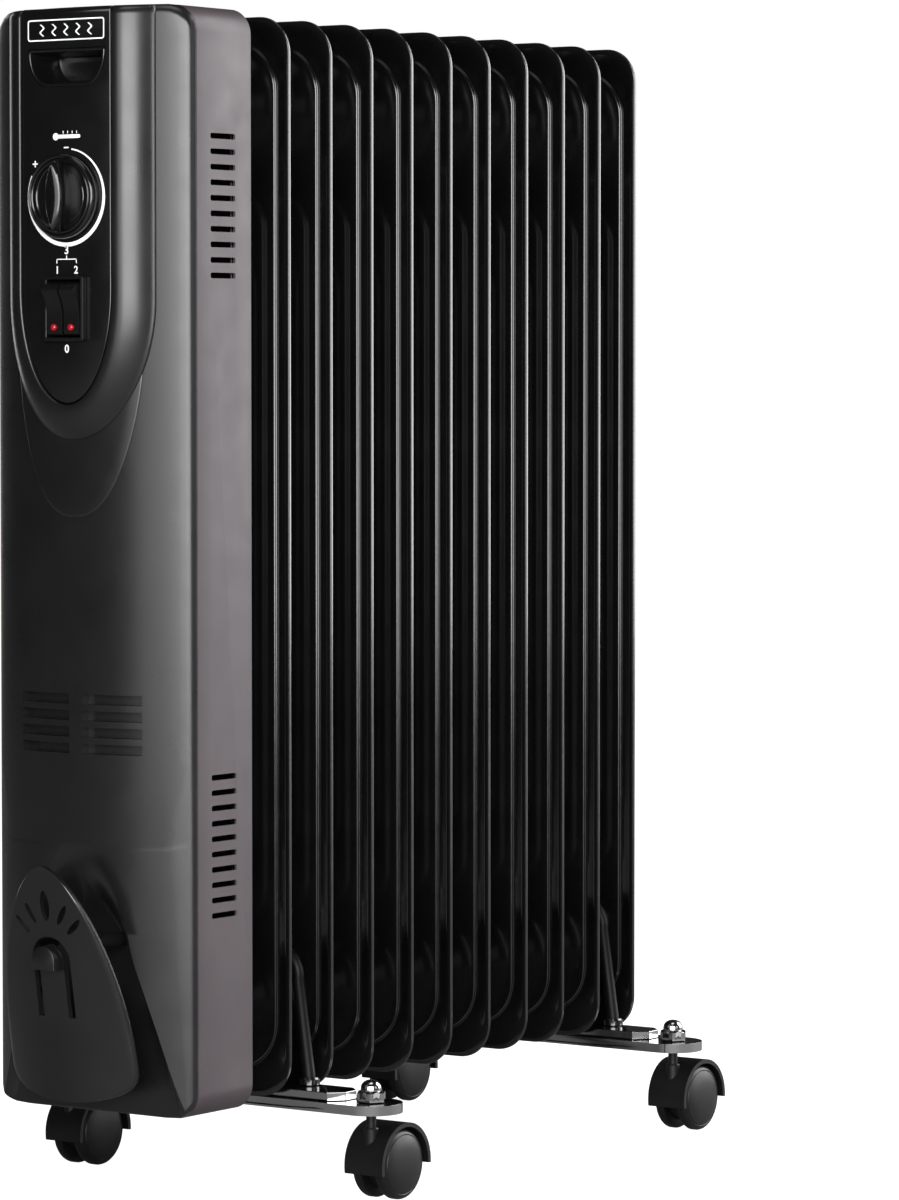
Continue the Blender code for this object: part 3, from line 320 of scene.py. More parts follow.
def soften(obj, width, segments=2):
    mod = obj.modifiers.new("round_edges", "BEVEL")
    mod.width = width
    mod.segments = segments
    mod.limit_method = "ANGLE"
    mod.angle_limit = radians(32)
    mod.harden_normals = True
    return obj


# ---- materials


CLOUD_SCALE = 24
GLOSS_SCALE = 60
GRAIN_DEPTH = 0.05 * MM


def set_inputs(node, values):
    for name, value in values.items():
        node.inputs[name].default_value = value


class Finish:
    """A procedural surface: cloudy colour, uneven gloss and a fine grain in the relief."""

    def __init__(self, name, slot, dark, light, metallic, smooth, rough, grain, relief, specular=0.5):
        self.slot = slot
        self.mat = bpy.data.materials.new(name)
        self.mat.use_nodes = True
        nodes = self.mat.node_tree.nodes
        links = self.mat.node_tree.links
        shader = nodes["Principled BSDF"]
        set_inputs(shader, {"Metallic": metallic, "Specular IOR Level": specular})
        where = nodes.new("ShaderNodeTexCoord")

        def noise(scale, detail):
            node = nodes.new("ShaderNodeTexNoise")
            set_inputs(node, {"Scale": scale, "Detail": detail})
            links.new(where.outputs["Object"], node.inputs["Vector"])
            return node.outputs["Fac"]

        ramp = nodes.new("ShaderNodeValToRGB")
        for stop, position, color in zip(ramp.color_ramp.elements, (0.35, 0.65), (dark, light)):
            stop.position = position
            stop.color = (*color, 1)
        links.new(noise(CLOUD_SCALE, 4), ramp.inputs["Fac"])
        links.new(ramp.outputs["Color"], shader.inputs["Base Color"])
        gloss = nodes.new("ShaderNodeMapRange")
        set_inputs(gloss, {"From Min": 0.3, "From Max": 0.7, "To Min": smooth, "To Max": rough})
        links.new(noise(GLOSS_SCALE, 5), gloss.inputs["Value"])
        links.new(gloss.outputs["Result"], shader.inputs["Roughness"])
        bump = nodes.new("ShaderNodeBump")
        set_inputs(bump, {"Strength": relief, "Distance": GRAIN_DEPTH})
        links.new(noise(grain, 2), bump.inputs["Height"])
        links.new(bump.outputs["Normal"], shader.inputs["Normal"])


ENAMEL = Finish("enamel", "black_enamel", (0.0025,) * 3, (0.004,) * 3, 0, 0.12, 0.17, 500, 0.04, 0.75)
PAINT = Finish(
    "side_paint", "box_paint", (0.044, 0.035, 0.040), (0.05, 0.04, 0.045), 0, 0.42, 0.5, 2200, 0.12, 0.24
)
SATIN = Finish("moulded_satin", "satin_black", (0.0045,) * 3, (0.006,) * 3, 0, 0.27, 0.32, 3500, 0.06)
FASCIA = Finish("fascia_plastic", "fascia_black", (0.003,) * 3, (0.004,) * 3, 0, 0.2, 0.26, 3500, 0.05)
MATT = Finish("matt_plastic", "matt_black", (0.003,) * 3, (0.004,) * 3, 0, 0.34, 0.42, 2600, 0.1, 0.25)
BOLT = Finish("bolt_black", "matt_black", (0.0015,) * 3, (0.0025,) * 3, 0, 0.4, 0.5, 1500, 0.1, 0.15)
GLOSS = Finish("dial_gloss", "satin_black", (0.003,) * 3, (0.004,) * 3, 0, 0.13, 0.18, 3500, 0.03)
CHROME = Finish("chrome_plate", "chrome", (0.38,) * 3, (0.44,) * 3, 1, 0.08, 0.15, 900, 0.03)
ZINC = Finish("zinc_plate", "zinc_steel", (0.4, 0.4, 0.41), (0.52, 0.52, 0.53), 1, 0.3, 0.42, 900, 0.3)
LAMP = Finish("lamp_lens", "lamp_red", (0.3, 0.004, 0.012), (0.5, 0.01, 0.03), 0, 0.1, 0.16, 900, 0.05)
PRINT = Finish("white_print", "fascia_black", (0.74,) * 3, (0.82,) * 3, 0, 0.45, 0.55, 3500, 0.1)


def piece(obj, finish, body, *nodes):
    """Gives a piece its finish and the body it moves with, and hides the CAD nodes it stands for."""
    obj.data.materials.clear()
    obj.data.materials.append(finish.mat)
    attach(obj, body)
    if nodes:
        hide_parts(*nodes)
    return obj


# ---- fins

RIM = ((0.0, 0.22), (0.0, 0.62), (0.12, 0.87), (0.35, 1.0), (2.3, 1.0), (2.8, 0.9))
FRONT_STEP = ((3.6, 0.45), (12.2, -4.77), (12.55, -4.93), (12.8, -4.8), (13.0, -4.45))
FRONT_STEP += ((13.2, -3.95), (13.5, -3.65), (14.3, -3.5))
BACK_STEP = ((3.6, 1.1), (12.0, 6.0), (12.6, 6.45), (13.2, 7.05), (13.8, 7.6), (14.3, 7.9), (14.8, 8.0))
BOSS = ((37.4, 0.0), (36.9, 0.02), (35.6, 0.4), (33.8, 1.5), (31.6, 3.6), (29.3, 6.6), (27.2, 9.8))
BOSS += ((25.6, 12.8), (24.6, 15.0))
END_BOSS = ((37.4, 0.0), (36.9, 0.02), (36.0, 0.5), (34.6, 2.0), (33.2, 4.2), (31.8, 5.6), (30.0, 6.0))
CHANNEL_EDGE = ((0.0, 0.0), (0.8, 0.06), (1.8, 0.36), (2.9, 0.92), (3.9, 1.32), (5.0, 1.5))
RIDGE_EDGE = ((0.0, 0.0), (0.6, 0.04), (1.4, 0.26), (2.3, 0.62), (3.1, 0.86), (4.0, 0.95))
# Half width, foot, head and corner radius of the two pressed fields.
CHANNEL = (47.4 * MM, 92 * MM, 488 * MM, 21 * MM)
RIDGE = (41.6 * MM, CHANNEL[1] + 34 * MM, CHANNEL[2] - 34 * MM, 18 * MM)
FIN_CORNER = 20.0
CREASE_CORNER = 27.0
CREASE_INSET = 12.6


def fin_outline(inset):
    if inset <= CREASE_INSET:
        radius = FIN_CORNER + (CREASE_CORNER - FIN_CORNER) * inset / CREASE_INSET
    else:
        radius = CREASE_CORNER - (inset - CREASE_INSET)
    inset *= MM
    return rounded_rect(FIN_HALF_WIDTH - inset, inset, FIN_HEIGHT - inset, radius * MM, 12)


def pressed_pad(shell, half, low, high, radius, edge, level, side):
    """A raised field with a rounded step; returns its outer and inner rings."""
    rings = []
    for inset, rise in edge:
        d = inset * MM
        outline = rounded_rect(half - d, low + d, high - d, radius - d, 10)
        rings.append(shell.ring(outline, level + side * rise * MM))
    shell.loft(rings)
    return rings[0], rings[-1]


def make_fin(name, last):
    shell = Shell()
    groove = shell.ring(fin_outline(0.3), 0.0)
    bores = []
    for side, step, panel in ((-1, FRONT_STEP, PANEL_FRONT), (1, BACK_STEP, PANEL_BACK)):
        rings = [groove]
        for inset, out in RIM + step:
            rings.append(shell.ring(fin_outline(inset), side * out * MM))
        shell.loft(rings)
        holes = []
        end_dome = last and side > 0
        for header in (HEADER_FROM_END, FIN_HEIGHT - HEADER_FROM_END):
            profile = list(END_BOSS if end_dome else BOSS)
            if not end_dome:
                profile.append((24.0, BOSS_REACH / MM))
            boss = []
            for radius, rise in profile:
                boss.append(shell.ring(circle((0, header), radius * MM, 48), panel + side * rise * MM))
            shell.loft(boss)
            holes.append(boss[0])
            if header == HEADER_FROM_END and not last:
                bore = shell.ring(circle((0, header), HEADER_BORE, 48), panel + side * BOSS_REACH)
                shell.band(boss[-1], bore)
                bores.append(bore)
            else:
                shell.cap(boss[-1])
        pad, field = pressed_pad(shell, *CHANNEL, CHANNEL_EDGE, panel, side)
        raised = panel + side * CHANNEL_EDGE[-1][1] * MM
        ridge, top = pressed_pad(shell, *RIDGE, RIDGE_EDGE, raised, side)
        shell.cap(rings[-1], [*holes, pad])
        shell.cap(field, [ridge])
        shell.cap(top)
    if bores:
        shell.band(*bores)
    return shell.build(name, 50)


def fin_plane(number):
    """Y of a fin's rim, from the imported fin."""
    return FINS[0][1].y - PANEL_BACK - BOSS_REACH + (number - 1) * FIN_PITCH


def make_fins():
    first = make_fin("radiator_fin_01", False)
    for number in range(1, FIN_COUNT + 1):
        name = f"radiator_fin_{number:02d}"
        if number == FIN_COUNT:
            fin = make_fin(name, True)
        else:
            fin = first if number == 1 else link(name, first.data)
        fin.location = (0, fin_plane(number), FIN_BOTTOM)
        piece(fin, ENAMEL, ROOT, f"fin_{number:02d}")


# ---- control box


def make_box_shell():
    shell = Shell()
    front = SEAM_Y + GAP
    section = ((0.0, front + 0.9 * MM), (0.1 * MM, front + 0.4 * MM), (0.3 * MM, front + 0.12 * MM))
    section += ((0.6 * MM, front), (BOX_WALL, front), (BOX_WALL, BOX_REAR_Y), (0.5 * MM, BOX_REAR_Y))
    section += ((0.15 * MM, BOX_REAR_Y - 0.15 * MM), (0.0, BOX_REAR_Y - 0.5 * MM))
    rings = []
    for inset, y in section:
        low = BOX_BOTTOM + inset
        outline = rounded_rect(BOX_HALF_WIDTH - inset, low, BOX_TOP - inset, BOX_CORNER - inset, 16)
        rings.append(shell.ring(outline, y))
    shell.loft(rings + rings[:1])
    obj = shell.build("box_sleeve")
    cutter = Shell()
    half_z = VENT_HEIGHT / 2
    for side in (-1, 1):
        for top in VENT_TOPS:
            for i in range(VENT_COUNT):
                z = top - i * VENT_PITCH
                slot = rounded_rect(VENT_LENGTH / 2, z - half_z, z + half_z, 1.1 * MM, 4)
                loops = []
                for x in (side * BOX_HALF_WIDTH - 3 * MM, side * BOX_HALF_WIDTH + 3 * MM):
                    loops.append(cutter.ring3([(x, VENT_MIDDLE_Y + u, v) for u, v in slot]))
                cutter.solid(loops)
    combine(obj, cutter.build("vent_cutter"))
    piece(obj, PAINT, ROOT, "control_box_shell")


EDGE_STEP = 3.0 * MM
EDGE_ROUND = 3.4 * MM
TOP_ROUND = 5.0 * MM


def cover_profile(x):
    """How far the cover stands in front of its seam: a crowned face with a rounded edge."""
    t = min(abs(x) / BOX_HALF_WIDTH, 1.0)
    crown = (COVER_BULGE - EDGE_STEP) * (1 - t**2.3)
    over = max(0.0, abs(x) - (BOX_HALF_WIDTH - EDGE_ROUND)) / EDGE_ROUND
    return crown + EDGE_STEP * sqrt(max(0.0, 1 - over * over))


def ease(t):
    t = min(max(t, 0.0), 1.0)
    return t * t * (3 - 2 * t)


def recess_edge(z):
    """Half width of the cord recess at its brim, which widens into a soft scoop near the top."""
    t = (RECESS_APEX - z) / (RECESS_APEX - BOX_BOTTOM)
    return 61.6 * MM * max(t, 0.0) ** 0.66 + scoop(z) * 8 * MM if t > 0 else 0.0


def scoop(z):
    return ease((z - FIN_BOTTOM - 75 * MM) / (50 * MM))


def recess_floor(z):
    start = FIN_BOTTOM + 98 * MM
    return RECESS_FLOOR + (COVER_BULGE - RECESS_FLOOR) * ease((z - start) / (RECESS_APEX - start))


def recess_wall(z, edge):
    """Width of the recess wall: steep low down, and a soft scoop towards the top."""
    steep = min(6 * MM, edge * 0.45)
    return steep + (edge * 0.92 - steep) * scoop(z)


EDGE_COLUMNS = 9
WALL_COLUMNS = 9
FLOOR_COLUMNS = 5
COLUMN_BLEND = 45 * MM


def half_columns(z):
    """Mesh columns from the side edge to the middle; low down they follow the recess."""
    half = BOX_HALF_WIDTH
    total = EDGE_COLUMNS + WALL_COLUMNS + FLOOR_COLUMNS
    rim = [half - EDGE_ROUND * (1 - cos(pi / 2 * i / 5)) for i in range(5)]
    inner = half - EDGE_ROUND
    plain = rim + [inner * (1 - i / (total - 5)) for i in range(total - 5)]
    edge = max(recess_edge(z), 2.5 * MM)
    wall = recess_wall(z, edge)
    beside = EDGE_COLUMNS - 4
    followed = rim[:4] + [inner + (edge - inner) * i / beside for i in range(beside)]
    followed += [edge - wall * i / (WALL_COLUMNS - 1) for i in range(WALL_COLUMNS)]
    followed += [(edge - wall) * (1 - (i + 1) / (FLOOR_COLUMNS + 1)) for i in range(FLOOR_COLUMNS)]
    t = ease((z - RECESS_APEX) / COLUMN_BLEND)
    return [a * (1 - t) + b * t for a, b in zip(followed, plain)]


def cover_depth(x, z):
    depth = cover_profile(x)
    edge = recess_edge(z)
    if edge > 0 and abs(x) < edge:
        t = ease((edge - abs(x)) / recess_wall(z, edge))
        brim = cover_profile(edge)
        depth = brim * (1 - t) + min(recess_floor(z), brim) * t
    return depth


def rolled(depth, from_end, radius):
    """Depth lowered towards an end of the cover, as a quarter round."""
    if from_end >= radius:
        return depth
    drop = radius - sqrt(max(0.0, radius**2 - (radius - from_end) ** 2))
    return max(depth - drop, min(depth, 0.2 * MM))


def corner_height(x, z, inset):
    """Moves a row to follow the rounded corners."""
    middle = (BOX_BOTTOM + BOX_TOP) / 2
    corner = BOX_CORNER - inset
    over = min(max(0.0, abs(x) - (BOX_HALF_WIDTH - BOX_CORNER)), corner)
    drop = corner - sqrt(corner * corner - over * over)
    half = middle - BOX_BOTTOM
    return middle + (z - middle) * (half - inset - drop) / half


def cover_rows():
    """Heights of the mesh rows: close together at the ends and beside the recess."""
    height = BOX_TOP - BOX_BOTTOM
    ends = [TOP_ROUND * (1 - cos(pi / 2 * i / 7)) for i in range(8)]
    recess = RECESS_APEX - BOX_BOTTOM
    rows = ends[:] + [ends[-1] + (recess - 1.5 * MM - ends[-1]) * i / 46 for i in range(1, 47)]
    rows += [recess - 0.6 * MM, recess, recess + 1.5 * MM]
    rows += [rows[-1] + COLUMN_BLEND * i / 10 for i in range(1, 11)]
    last = height - TOP_ROUND
    start = rows[-1]
    rows += [start + (last - start) * i / 40 for i in range(1, 40)]
    return rows + [height - e for e in reversed(ends)]


SLOT_INNER = 4.5 * MM
SLOT_OUTER = 40.3 * MM
SLOT_HEIGHT = 5.3 * MM
SLOT_PITCH = 8.7 * MM
SLOT_TOP = FIN_BOTTOM + 218.3 * MM
SLOT_ROWS = 4
SLOT_DEPTH = 5.5 * MM
THICK_WALL = 8.0 * MM


def cover_wall(x, z):
    """Wall thickness; it is deeper behind the front vents, so that they have a floor."""
    low = SLOT_TOP - SLOT_ROWS * SLOT_PITCH
    inside = low <= z <= SLOT_TOP + SLOT_PITCH and abs(x) < SLOT_OUTER + 4 * MM
    return THICK_WALL if inside else COVER_WALL


def slot_cutter():
    """Eight pockets whose floors follow the crown of the cover."""
    cutter = Shell()
    steps = 8
    for side in (-1, 1):
        across = [side * (SLOT_INNER + (SLOT_OUTER - SLOT_INNER) * i / steps) for i in range(steps + 1)]
        front = [(x, SEAM_Y - COVER_BULGE - 3 * MM) for x in across]
        floor = [(x, SEAM_Y - cover_profile(x) + SLOT_DEPTH) for x in reversed(across)]
        for row in range(SLOT_ROWS):
            z = SLOT_TOP - row * SLOT_PITCH
            loops = []
            for level in (z - SLOT_HEIGHT / 2, z + SLOT_HEIGHT / 2):
                loops.append(cutter.ring3([(x, y, level) for x, y in front + floor]))
            cutter.solid(loops)
    return cutter.build("slot_cutter")


def switch_opening(inset):
    half = SWITCH_HALF_HEIGHT - inset
    return rounded_rect(SWITCH_HALF_WIDTH - inset, SWITCH_Z - half, SWITCH_Z + half, 1 * MM, 2)


def make_front_cover():
    shell = Shell()
    rows_out = []
    rows_in = []
    height = BOX_TOP - BOX_BOTTOM
    for row in cover_rows():
        z = BOX_BOTTOM + row
        columns = half_columns(z)
        outer = []
        inner = []
        for x in columns + [0.0] + [-c for c in reversed(columns)]:
            depth = rolled(cover_depth(x, z), row, 1.6 * MM)
            depth = rolled(depth, height - row, TOP_ROUND)
            outer.append((x, SEAM_Y - depth, corner_height(x, z, 0.0)))
            x_in = x * (BOX_HALF_WIDTH - COVER_WALL) / BOX_HALF_WIDTH
            depth_in = max(depth - cover_wall(x, z), 0.0) if abs(x) < BOX_HALF_WIDTH - EDGE_ROUND else 0.0
            inner.append((x_in, SEAM_Y - depth_in, corner_height(x_in, z, COVER_WALL)))
        rows_out.append(shell.ring3(outer))
        rows_in.append(shell.ring3(inner))
    shell.loft(rows_out, closed=False)
    shell.loft(rows_in, closed=False)
    rims = []
    for rows in (rows_out, rows_in):
        for end in (0, -1):
            row = rows[end]
            wall = shell.ring3([(shell.verts[i][0], SEAM_Y, shell.verts[i][2]) for i in row[1:-1]])
            shell.faces.append((row[0], row[1], wall[0]))
            shell.band(row[1:-1], wall, closed=False)
            shell.faces.append((row[-2], row[-1], wall[-1]))
            rims.append([row[0], *wall, row[-1]])
    shell.band(rims[0], rims[2], closed=False)
    shell.band(rims[1], rims[3], closed=False)
    for column in (0, -1):
        shell.band([r[column] for r in rows_out], [r[column] for r in rows_in], closed=False)
    cover = shell.build("cover_moulding", 40)
    front = SEAM_Y - 40 * MM
    back = SEAM_Y - 3 * MM
    openings = (
        handle_outline(-2.2 * MM),
        circle((0, KNOB_Z), SHAFT_RADIUS + 1.2 * MM, 20),
        switch_opening(1 * MM),
    )
    for opening in openings:
        combine(cover, prism("opening", opening, front, back, along_y))
    combine(cover, slot_cutter())
    piece(cover, SATIN, ROOT, "front_cover")


SHIELD_TOP = FIN_BOTTOM + 400 * MM
SHIELD_DROP = 86 * MM
SHIELD_HALF = 42 * MM


def make_shield():
    """Shallow raised shield below the bezel."""
    steps = 40
    right = []
    for i in range(steps):
        t = sin(pi / 2 * i / steps)
        right.append((SHIELD_HALF * (1 - t**1.6) ** 0.42, SHIELD_TOP - SHIELD_DROP * t))
    outline = right + [(0, SHIELD_TOP - SHIELD_DROP)] + [(-x, z) for x, z in reversed(right)]
    centre_z = SHIELD_TOP - SHIELD_DROP * 0.4
    shell = Shell()

    def ring(scale, rise):
        points = []
        for x, z in outline:
            u = x * scale
            v = centre_z + (z - centre_z) * scale
            points.append((u, SEAM_Y - cover_profile(u) - rise * MM, v))
        return shell.ring3(points)

    face = ((1.0, -0.5), (1.0, 0.15), (0.992, 0.4), (0.975, 0.5), (0.8, 0.5), (0.5, 0.5), (0.2, 0.5))
    rings = [ring(*level) for level in face]
    shell.loft(rings)
    shell.cap(rings[-1])
    back = [ring(scale, -0.8) for scale in (1.0, 0.6, 0.2)]
    shell.band(back[0], rings[0])
    shell.loft(back)
    shell.cap(back[-1])
    piece(shell.build("cover_shield", 50), SATIN, ROOT)


# ---- control panel


def handle_outline(inset):
    """D-shaped hand recess, flat on top and narrower below."""
    top = HANDLE_TOP - inset
    low = HANDLE_TOP - HANDLE_HEIGHT + inset
    wide = HANDLE_HALF_TOP - inset
    narrow = HANDLE_HALF_LOW - inset * 0.6
    right = [(narrow - 1.5 * MM, low), (narrow, low + 0.25 * MM)]
    for i in range(1, 15):
        t = i / 14
        bulge = (1 - (1 - t) ** 2) ** 0.62
        right.append((narrow + (wide - narrow) * bulge, low + (top - 1.2 * MM - low) * t))
    right += [(wide - 0.3 * MM, top - 0.35 * MM), (wide - 1.2 * MM, top)]
    return right + [(-x, z) for x, z in reversed(right)]


def u_outline(half, bend_z, drop, top, steps=48):
    """U shape (x, z) from its top right round to its top left."""
    straight = [top - (top - bend_z) * t for t in (0, 0.002, 0.006, 0.012, 0.02, 0.03, 0.25, 0.5, 0.75)]
    points = [(half, z) for z in straight]
    for i in range(steps + 1):
        a = pi * i / steps
        points.append((half * cos(a), bend_z - drop * sin(a)))
    return points + [(-half, z) for z in reversed(straight)]


def make_bezel():
    """Raised surround whose section falls in a full round from the panel to the curved cover."""
    outer = u_outline(BEZEL_HALF_WIDTH, BEZEL_BEND_Z, BEZEL_DROP, PANEL_TOP)
    inner = u_outline(FASCIA_HALF_WIDTH + 0.7 * MM, FASCIA_BEND_Z, FASCIA_DROP + 0.7 * MM, PANEL_TOP)
    lip = FASCIA_Y - 0.9 * MM
    shell = Shell()
    stations = []
    for (xo, zo), (xi, zi) in zip(outer, inner):
        def skin(t):
            return SEAM_Y - cover_profile(xi + (xo - xi) * t)

        edge = skin(1.0) - 1.4 * MM
        section = [(0.0, lip + 1.4 * MM), (0.008, lip + 0.5 * MM), (0.03, lip + 0.12 * MM), (0.06, lip)]
        for i in range(1, 15):
            t = 0.06 + 0.9 * i / 14
            section.append((t, lip + (edge - lip) * ((t - 0.06) / 0.9) ** 2.15))
        section += [(0.985, edge + 0.35 * MM), (1.0, edge + 1.0 * MM), (1.0, skin(1.0) - GAP)]
        section += [(0.5, skin(0.5) - GAP), (0.0, skin(0.0) - GAP)]
        from_top = PANEL_TOP - (zo + zi) / 2
        drop = 0.0
        if from_top < TOP_ROUND:
            drop = TOP_ROUND - sqrt(TOP_ROUND**2 - (TOP_ROUND - from_top) ** 2)
        points = []
        for t, y in section:
            limit = skin(t) - GAP
            points.append((xi + (xo - xi) * t, min(y + drop, limit), zi + (zo - zi) * t))
        stations.append(shell.ring3(points))
    shell.solid(stations)
    piece(shell.build("panel_bezel", 50), SATIN, ROOT, "control_bezel")


def make_fascia():
    holes = [
        switch_opening(0.6 * MM),
        circle((0, KNOB_Z), SHAFT_RADIUS + 0.6 * MM, 20),
        handle_outline(0.0),
    ]
    shell = Shell()
    back = FASCIA_Y + FASCIA_THICK
    rings = []
    for inset, from_top, y in (
        (0.7, 3.4, 0.0), (0.4, 2.0, 0.12), (0.15, 1.0, 0.5), (0.03, 0.35, 1.1), (0, 0.0, 2.0), (0, 0.0, 2.5)
    ):
        outline = u_outline(
            FASCIA_HALF_WIDTH - inset * MM, FASCIA_BEND_Z, FASCIA_DROP - inset * MM, PANEL_TOP - from_top * MM
        )
        rings.append(shell.ring(outline, FASCIA_Y + y * MM))
    shell.loft(rings)
    near = [shell.ring(h, FASCIA_Y) for h in holes]
    far = [shell.ring(h, back) for h in holes]
    for a, b in zip(near, far):
        shell.band(a, b)
    shell.cap(rings[0], near)
    shell.cap(rings[-1], far)
    piece(shell.build("panel_fascia"), FASCIA, ROOT, "control_fascia")


def make_handle_cup():
    shell = Shell()
    rim = FASCIA_Y - 0.2 * MM
    deep = FASCIA_Y + HANDLE_DEPTH
    section = ((0.2, rim + 1.2 * MM), (0.3, rim + 0.3 * MM), (0.6, rim), (1.2, rim), (1.7, rim + 0.3 * MM))
    section += ((2.0, rim + 1.2 * MM), (3.2, deep - 4 * MM), (3.8, deep - 2.2 * MM), (5.2, deep - 1.6 * MM))
    rings = [shell.ring(handle_outline(inset * MM), y) for inset, y in section]
    shell.loft(rings)
    shell.cap(rings[-1])
    outside = shell.ring(handle_outline(1.6 * MM), deep)
    shell.band(rings[0], outside)
    shell.cap(outside)
    piece(shell.build("grip_recess"), FASCIA, ROOT, "handle_cup")


def printed(name, outline, holes=()):
    """A thin printed mark on the fascia."""
    obj = prism(name, outline, FASCIA_Y - 0.09 * MM, FASCIA_Y + 0.05 * MM, along_y, holes)
    return piece(obj, PRINT, ROOT)


def printed_bar(name, x, z, half_w, half_h):
    return printed(name, rounded_rect_at(x, z, half_w, half_h, min(half_w, half_h) * 0.4))


def rounded_rect_at(x, z, half_w, half_h, radius):
    return [(x + u, v) for u, v in rounded_rect(half_w, z - half_h, z + half_h, radius, 3)]


def printed_figure(name, text, x, z, height):
    """A plain figure in Blender's own font, centred on (x, z)."""
    curve = bpy.data.curves.new(name, "FONT")
    curve.body = text
    curve.align_x = "CENTER"
    curve.align_y = "CENTER"
    curve.size = height * 1.4
    curve.extrude = 0.07 * MM
    curve.offset = 0.1 * MM
    text_obj = bpy.data.objects.new(name + "_curve", curve)
    bpy.context.scene.collection.objects.link(text_obj)
    bpy.context.view_layer.update()
    graph = bpy.context.evaluated_depsgraph_get()
    mesh = bpy.data.meshes.new_from_object(text_obj.evaluated_get(graph))
    bpy.data.objects.remove(text_obj, do_unlink=True)
    mesh.transform(at(x, FASCIA_Y - 0.02 * MM, z, TOWARD_FRONT))
    return piece(link(name, mesh), PRINT, ROOT)


def make_marks():
    """Dial scale, temperature sign, stage figures with their bracket, and a heat sign in a frame."""
    ring_radius = 25.0 * MM
    steps = 72
    outside = []
    inside = []
    for i in range(steps + 1):
        a = radians(8 + 288 * i / steps)
        half = (0.4 + 0.65 * ease(i / steps * 2.2)) * MM
        outside.append(((ring_radius + half) * sin(a), KNOB_Z + (ring_radius + half) * cos(a)))
        inside.append(((ring_radius - half) * sin(a), KNOB_Z + (ring_radius - half) * cos(a)))
    printed("dial_scale", outside + inside[::-1])
    printed_bar("dial_minus", 0, KNOB_Z + 25.6 * MM, 1.6 * MM, 0.35 * MM)
    plus = Vector((-20.9 * MM, KNOB_Z + 17.4 * MM))
    arm = 1.7 * MM
    thin = 0.35 * MM
    cross = [(thin, -arm), (thin, -thin), (arm, -thin), (arm, thin), (thin, thin), (thin, arm)]
    cross = cross + [(-u, -v) for u, v in cross]
    printed("dial_plus", [(plus.x + u, plus.y + v) for u, v in cross])

    sign_z = FIN_BOTTOM + 513 * MM
    bulb = arc((-7 * MM, sign_z), 1.9 * MM, 30, 330, 16)
    tube_end = arc((8.5 * MM, sign_z), 0.95 * MM, -90, 90, 8)
    printed("temperature_sign", bulb + tube_end)
    for i in range(4):
        printed_bar(f"temperature_tick_{i}", (-2 + 3 * i) * MM, sign_z + 2.2 * MM, 0.22 * MM, 0.7 * MM)

    beside = ROCKER_OFFSET + 0.6 * MM
    for name, text, x, z, height in (
        ("stage_three", "3", 0, 453.6, 4.4),
        ("stage_one", "1", -beside, 443.2, 4.0),
        ("stage_two", "2", beside, 443.2, 4.0),
        ("stage_zero", "0", 0, 402, 4.2),
    ):
        printed_figure(name, text, x, FIN_BOTTOM + z * MM, height * MM)
    bar_z = FIN_BOTTOM + 449.0 * MM
    reach = 6.8 * MM
    printed_bar("stage_bracket", 0, bar_z, reach, 0.25 * MM)
    printed_bar("stage_bracket_left", -reach + 0.25 * MM, bar_z - 1.0 * MM, 0.25 * MM, 1.2 * MM)
    printed_bar("stage_bracket_right", reach - 0.25 * MM, bar_z - 1.0 * MM, 0.25 * MM, 1.2 * MM)
    printed_bar("stage_bracket_stem", 0, bar_z + 0.9 * MM, 0.25 * MM, 1.0 * MM)

    frame_z = FIN_BOTTOM + 568.6 * MM
    outer = rounded_rect_at(0, frame_z, 25.6 * MM, 5.6 * MM, 1.4 * MM)
    inner = rounded_rect_at(0, frame_z, 24.9 * MM, 4.9 * MM, 1.0 * MM)
    printed("heat_sign_frame", outer, [inner])
    for i in range(5):
        x = (i - 2) * 8 * MM
        wave = []
        for j in range(17):
            v = -3.1 + 6.2 * j / 16
            wave.append((x + 1.1 * MM * sin(v * 1.35), frame_z + v * MM))
        left = [(u - 0.55 * MM, v) for u, v in wave]
        right = [(u + 0.55 * MM, v) for u, v in reversed(wave)]
        printed(f"heat_wave_{i}", left + right)


# Half width, height above the fascia (mm) and share of the full length.
GRIP_LEVELS = (
    (6.3, 1.8, 1.0),
    (6.1, 6.0, 0.99),
    (5.6, 10.0, 0.97),
    (4.9, 11.6, 0.95),
    (3.6, 12.4, 0.92),
    (0.8, 12.95, 0.86),
)


def make_knob():
    """Dished dial with a double rim and a lens-shaped grip that rises to a crest."""
    place = at(0, FASCIA_Y, KNOB_Z, TOWARD_FRONT)
    edge = KNOB_RADIUS / MM
    profile = [(0, 3.2), (13.6, 3.2), (13.8, 3.45), (14.1, 3.2), (17.0, 3.3), (17.5, 3.7), (17.9, 4.8)]
    profile += [(18.2, 5.6), (18.7, 5.9), (19.3, 5.6)]
    profile += [(19.6, 5.1), (19.9, 5.1), (20.3, 5.6), (20.9, 5.8), (21.4, 5.5), (edge - 0.2, 4.8)]
    profile += [(edge, 4.2), (edge, 0.5), (3, 0.5), (3, -13), (0, -13)]
    dial = lathe("dial_knob", profile, place, 96)
    shell = Shell()
    rings = []
    length = 19.0 * MM
    steps = 20
    for half, height, reach in GRIP_LEVELS:
        points = []
        for i in range(2 * steps):
            v = cos(pi * i / steps)
            side = 1 if i <= steps else -1
            points.append((side * half * MM * (1 - v * v) ** 0.8, length * reach * v + KNOB_Z))
        rings.append(shell.ring(points, FASCIA_Y - height * MM))
    shell.solid(rings)
    combine(dial, shell.build("grip", 60), "UNION")
    piece(dial, GLOSS, "dial", "thermostat_knob")


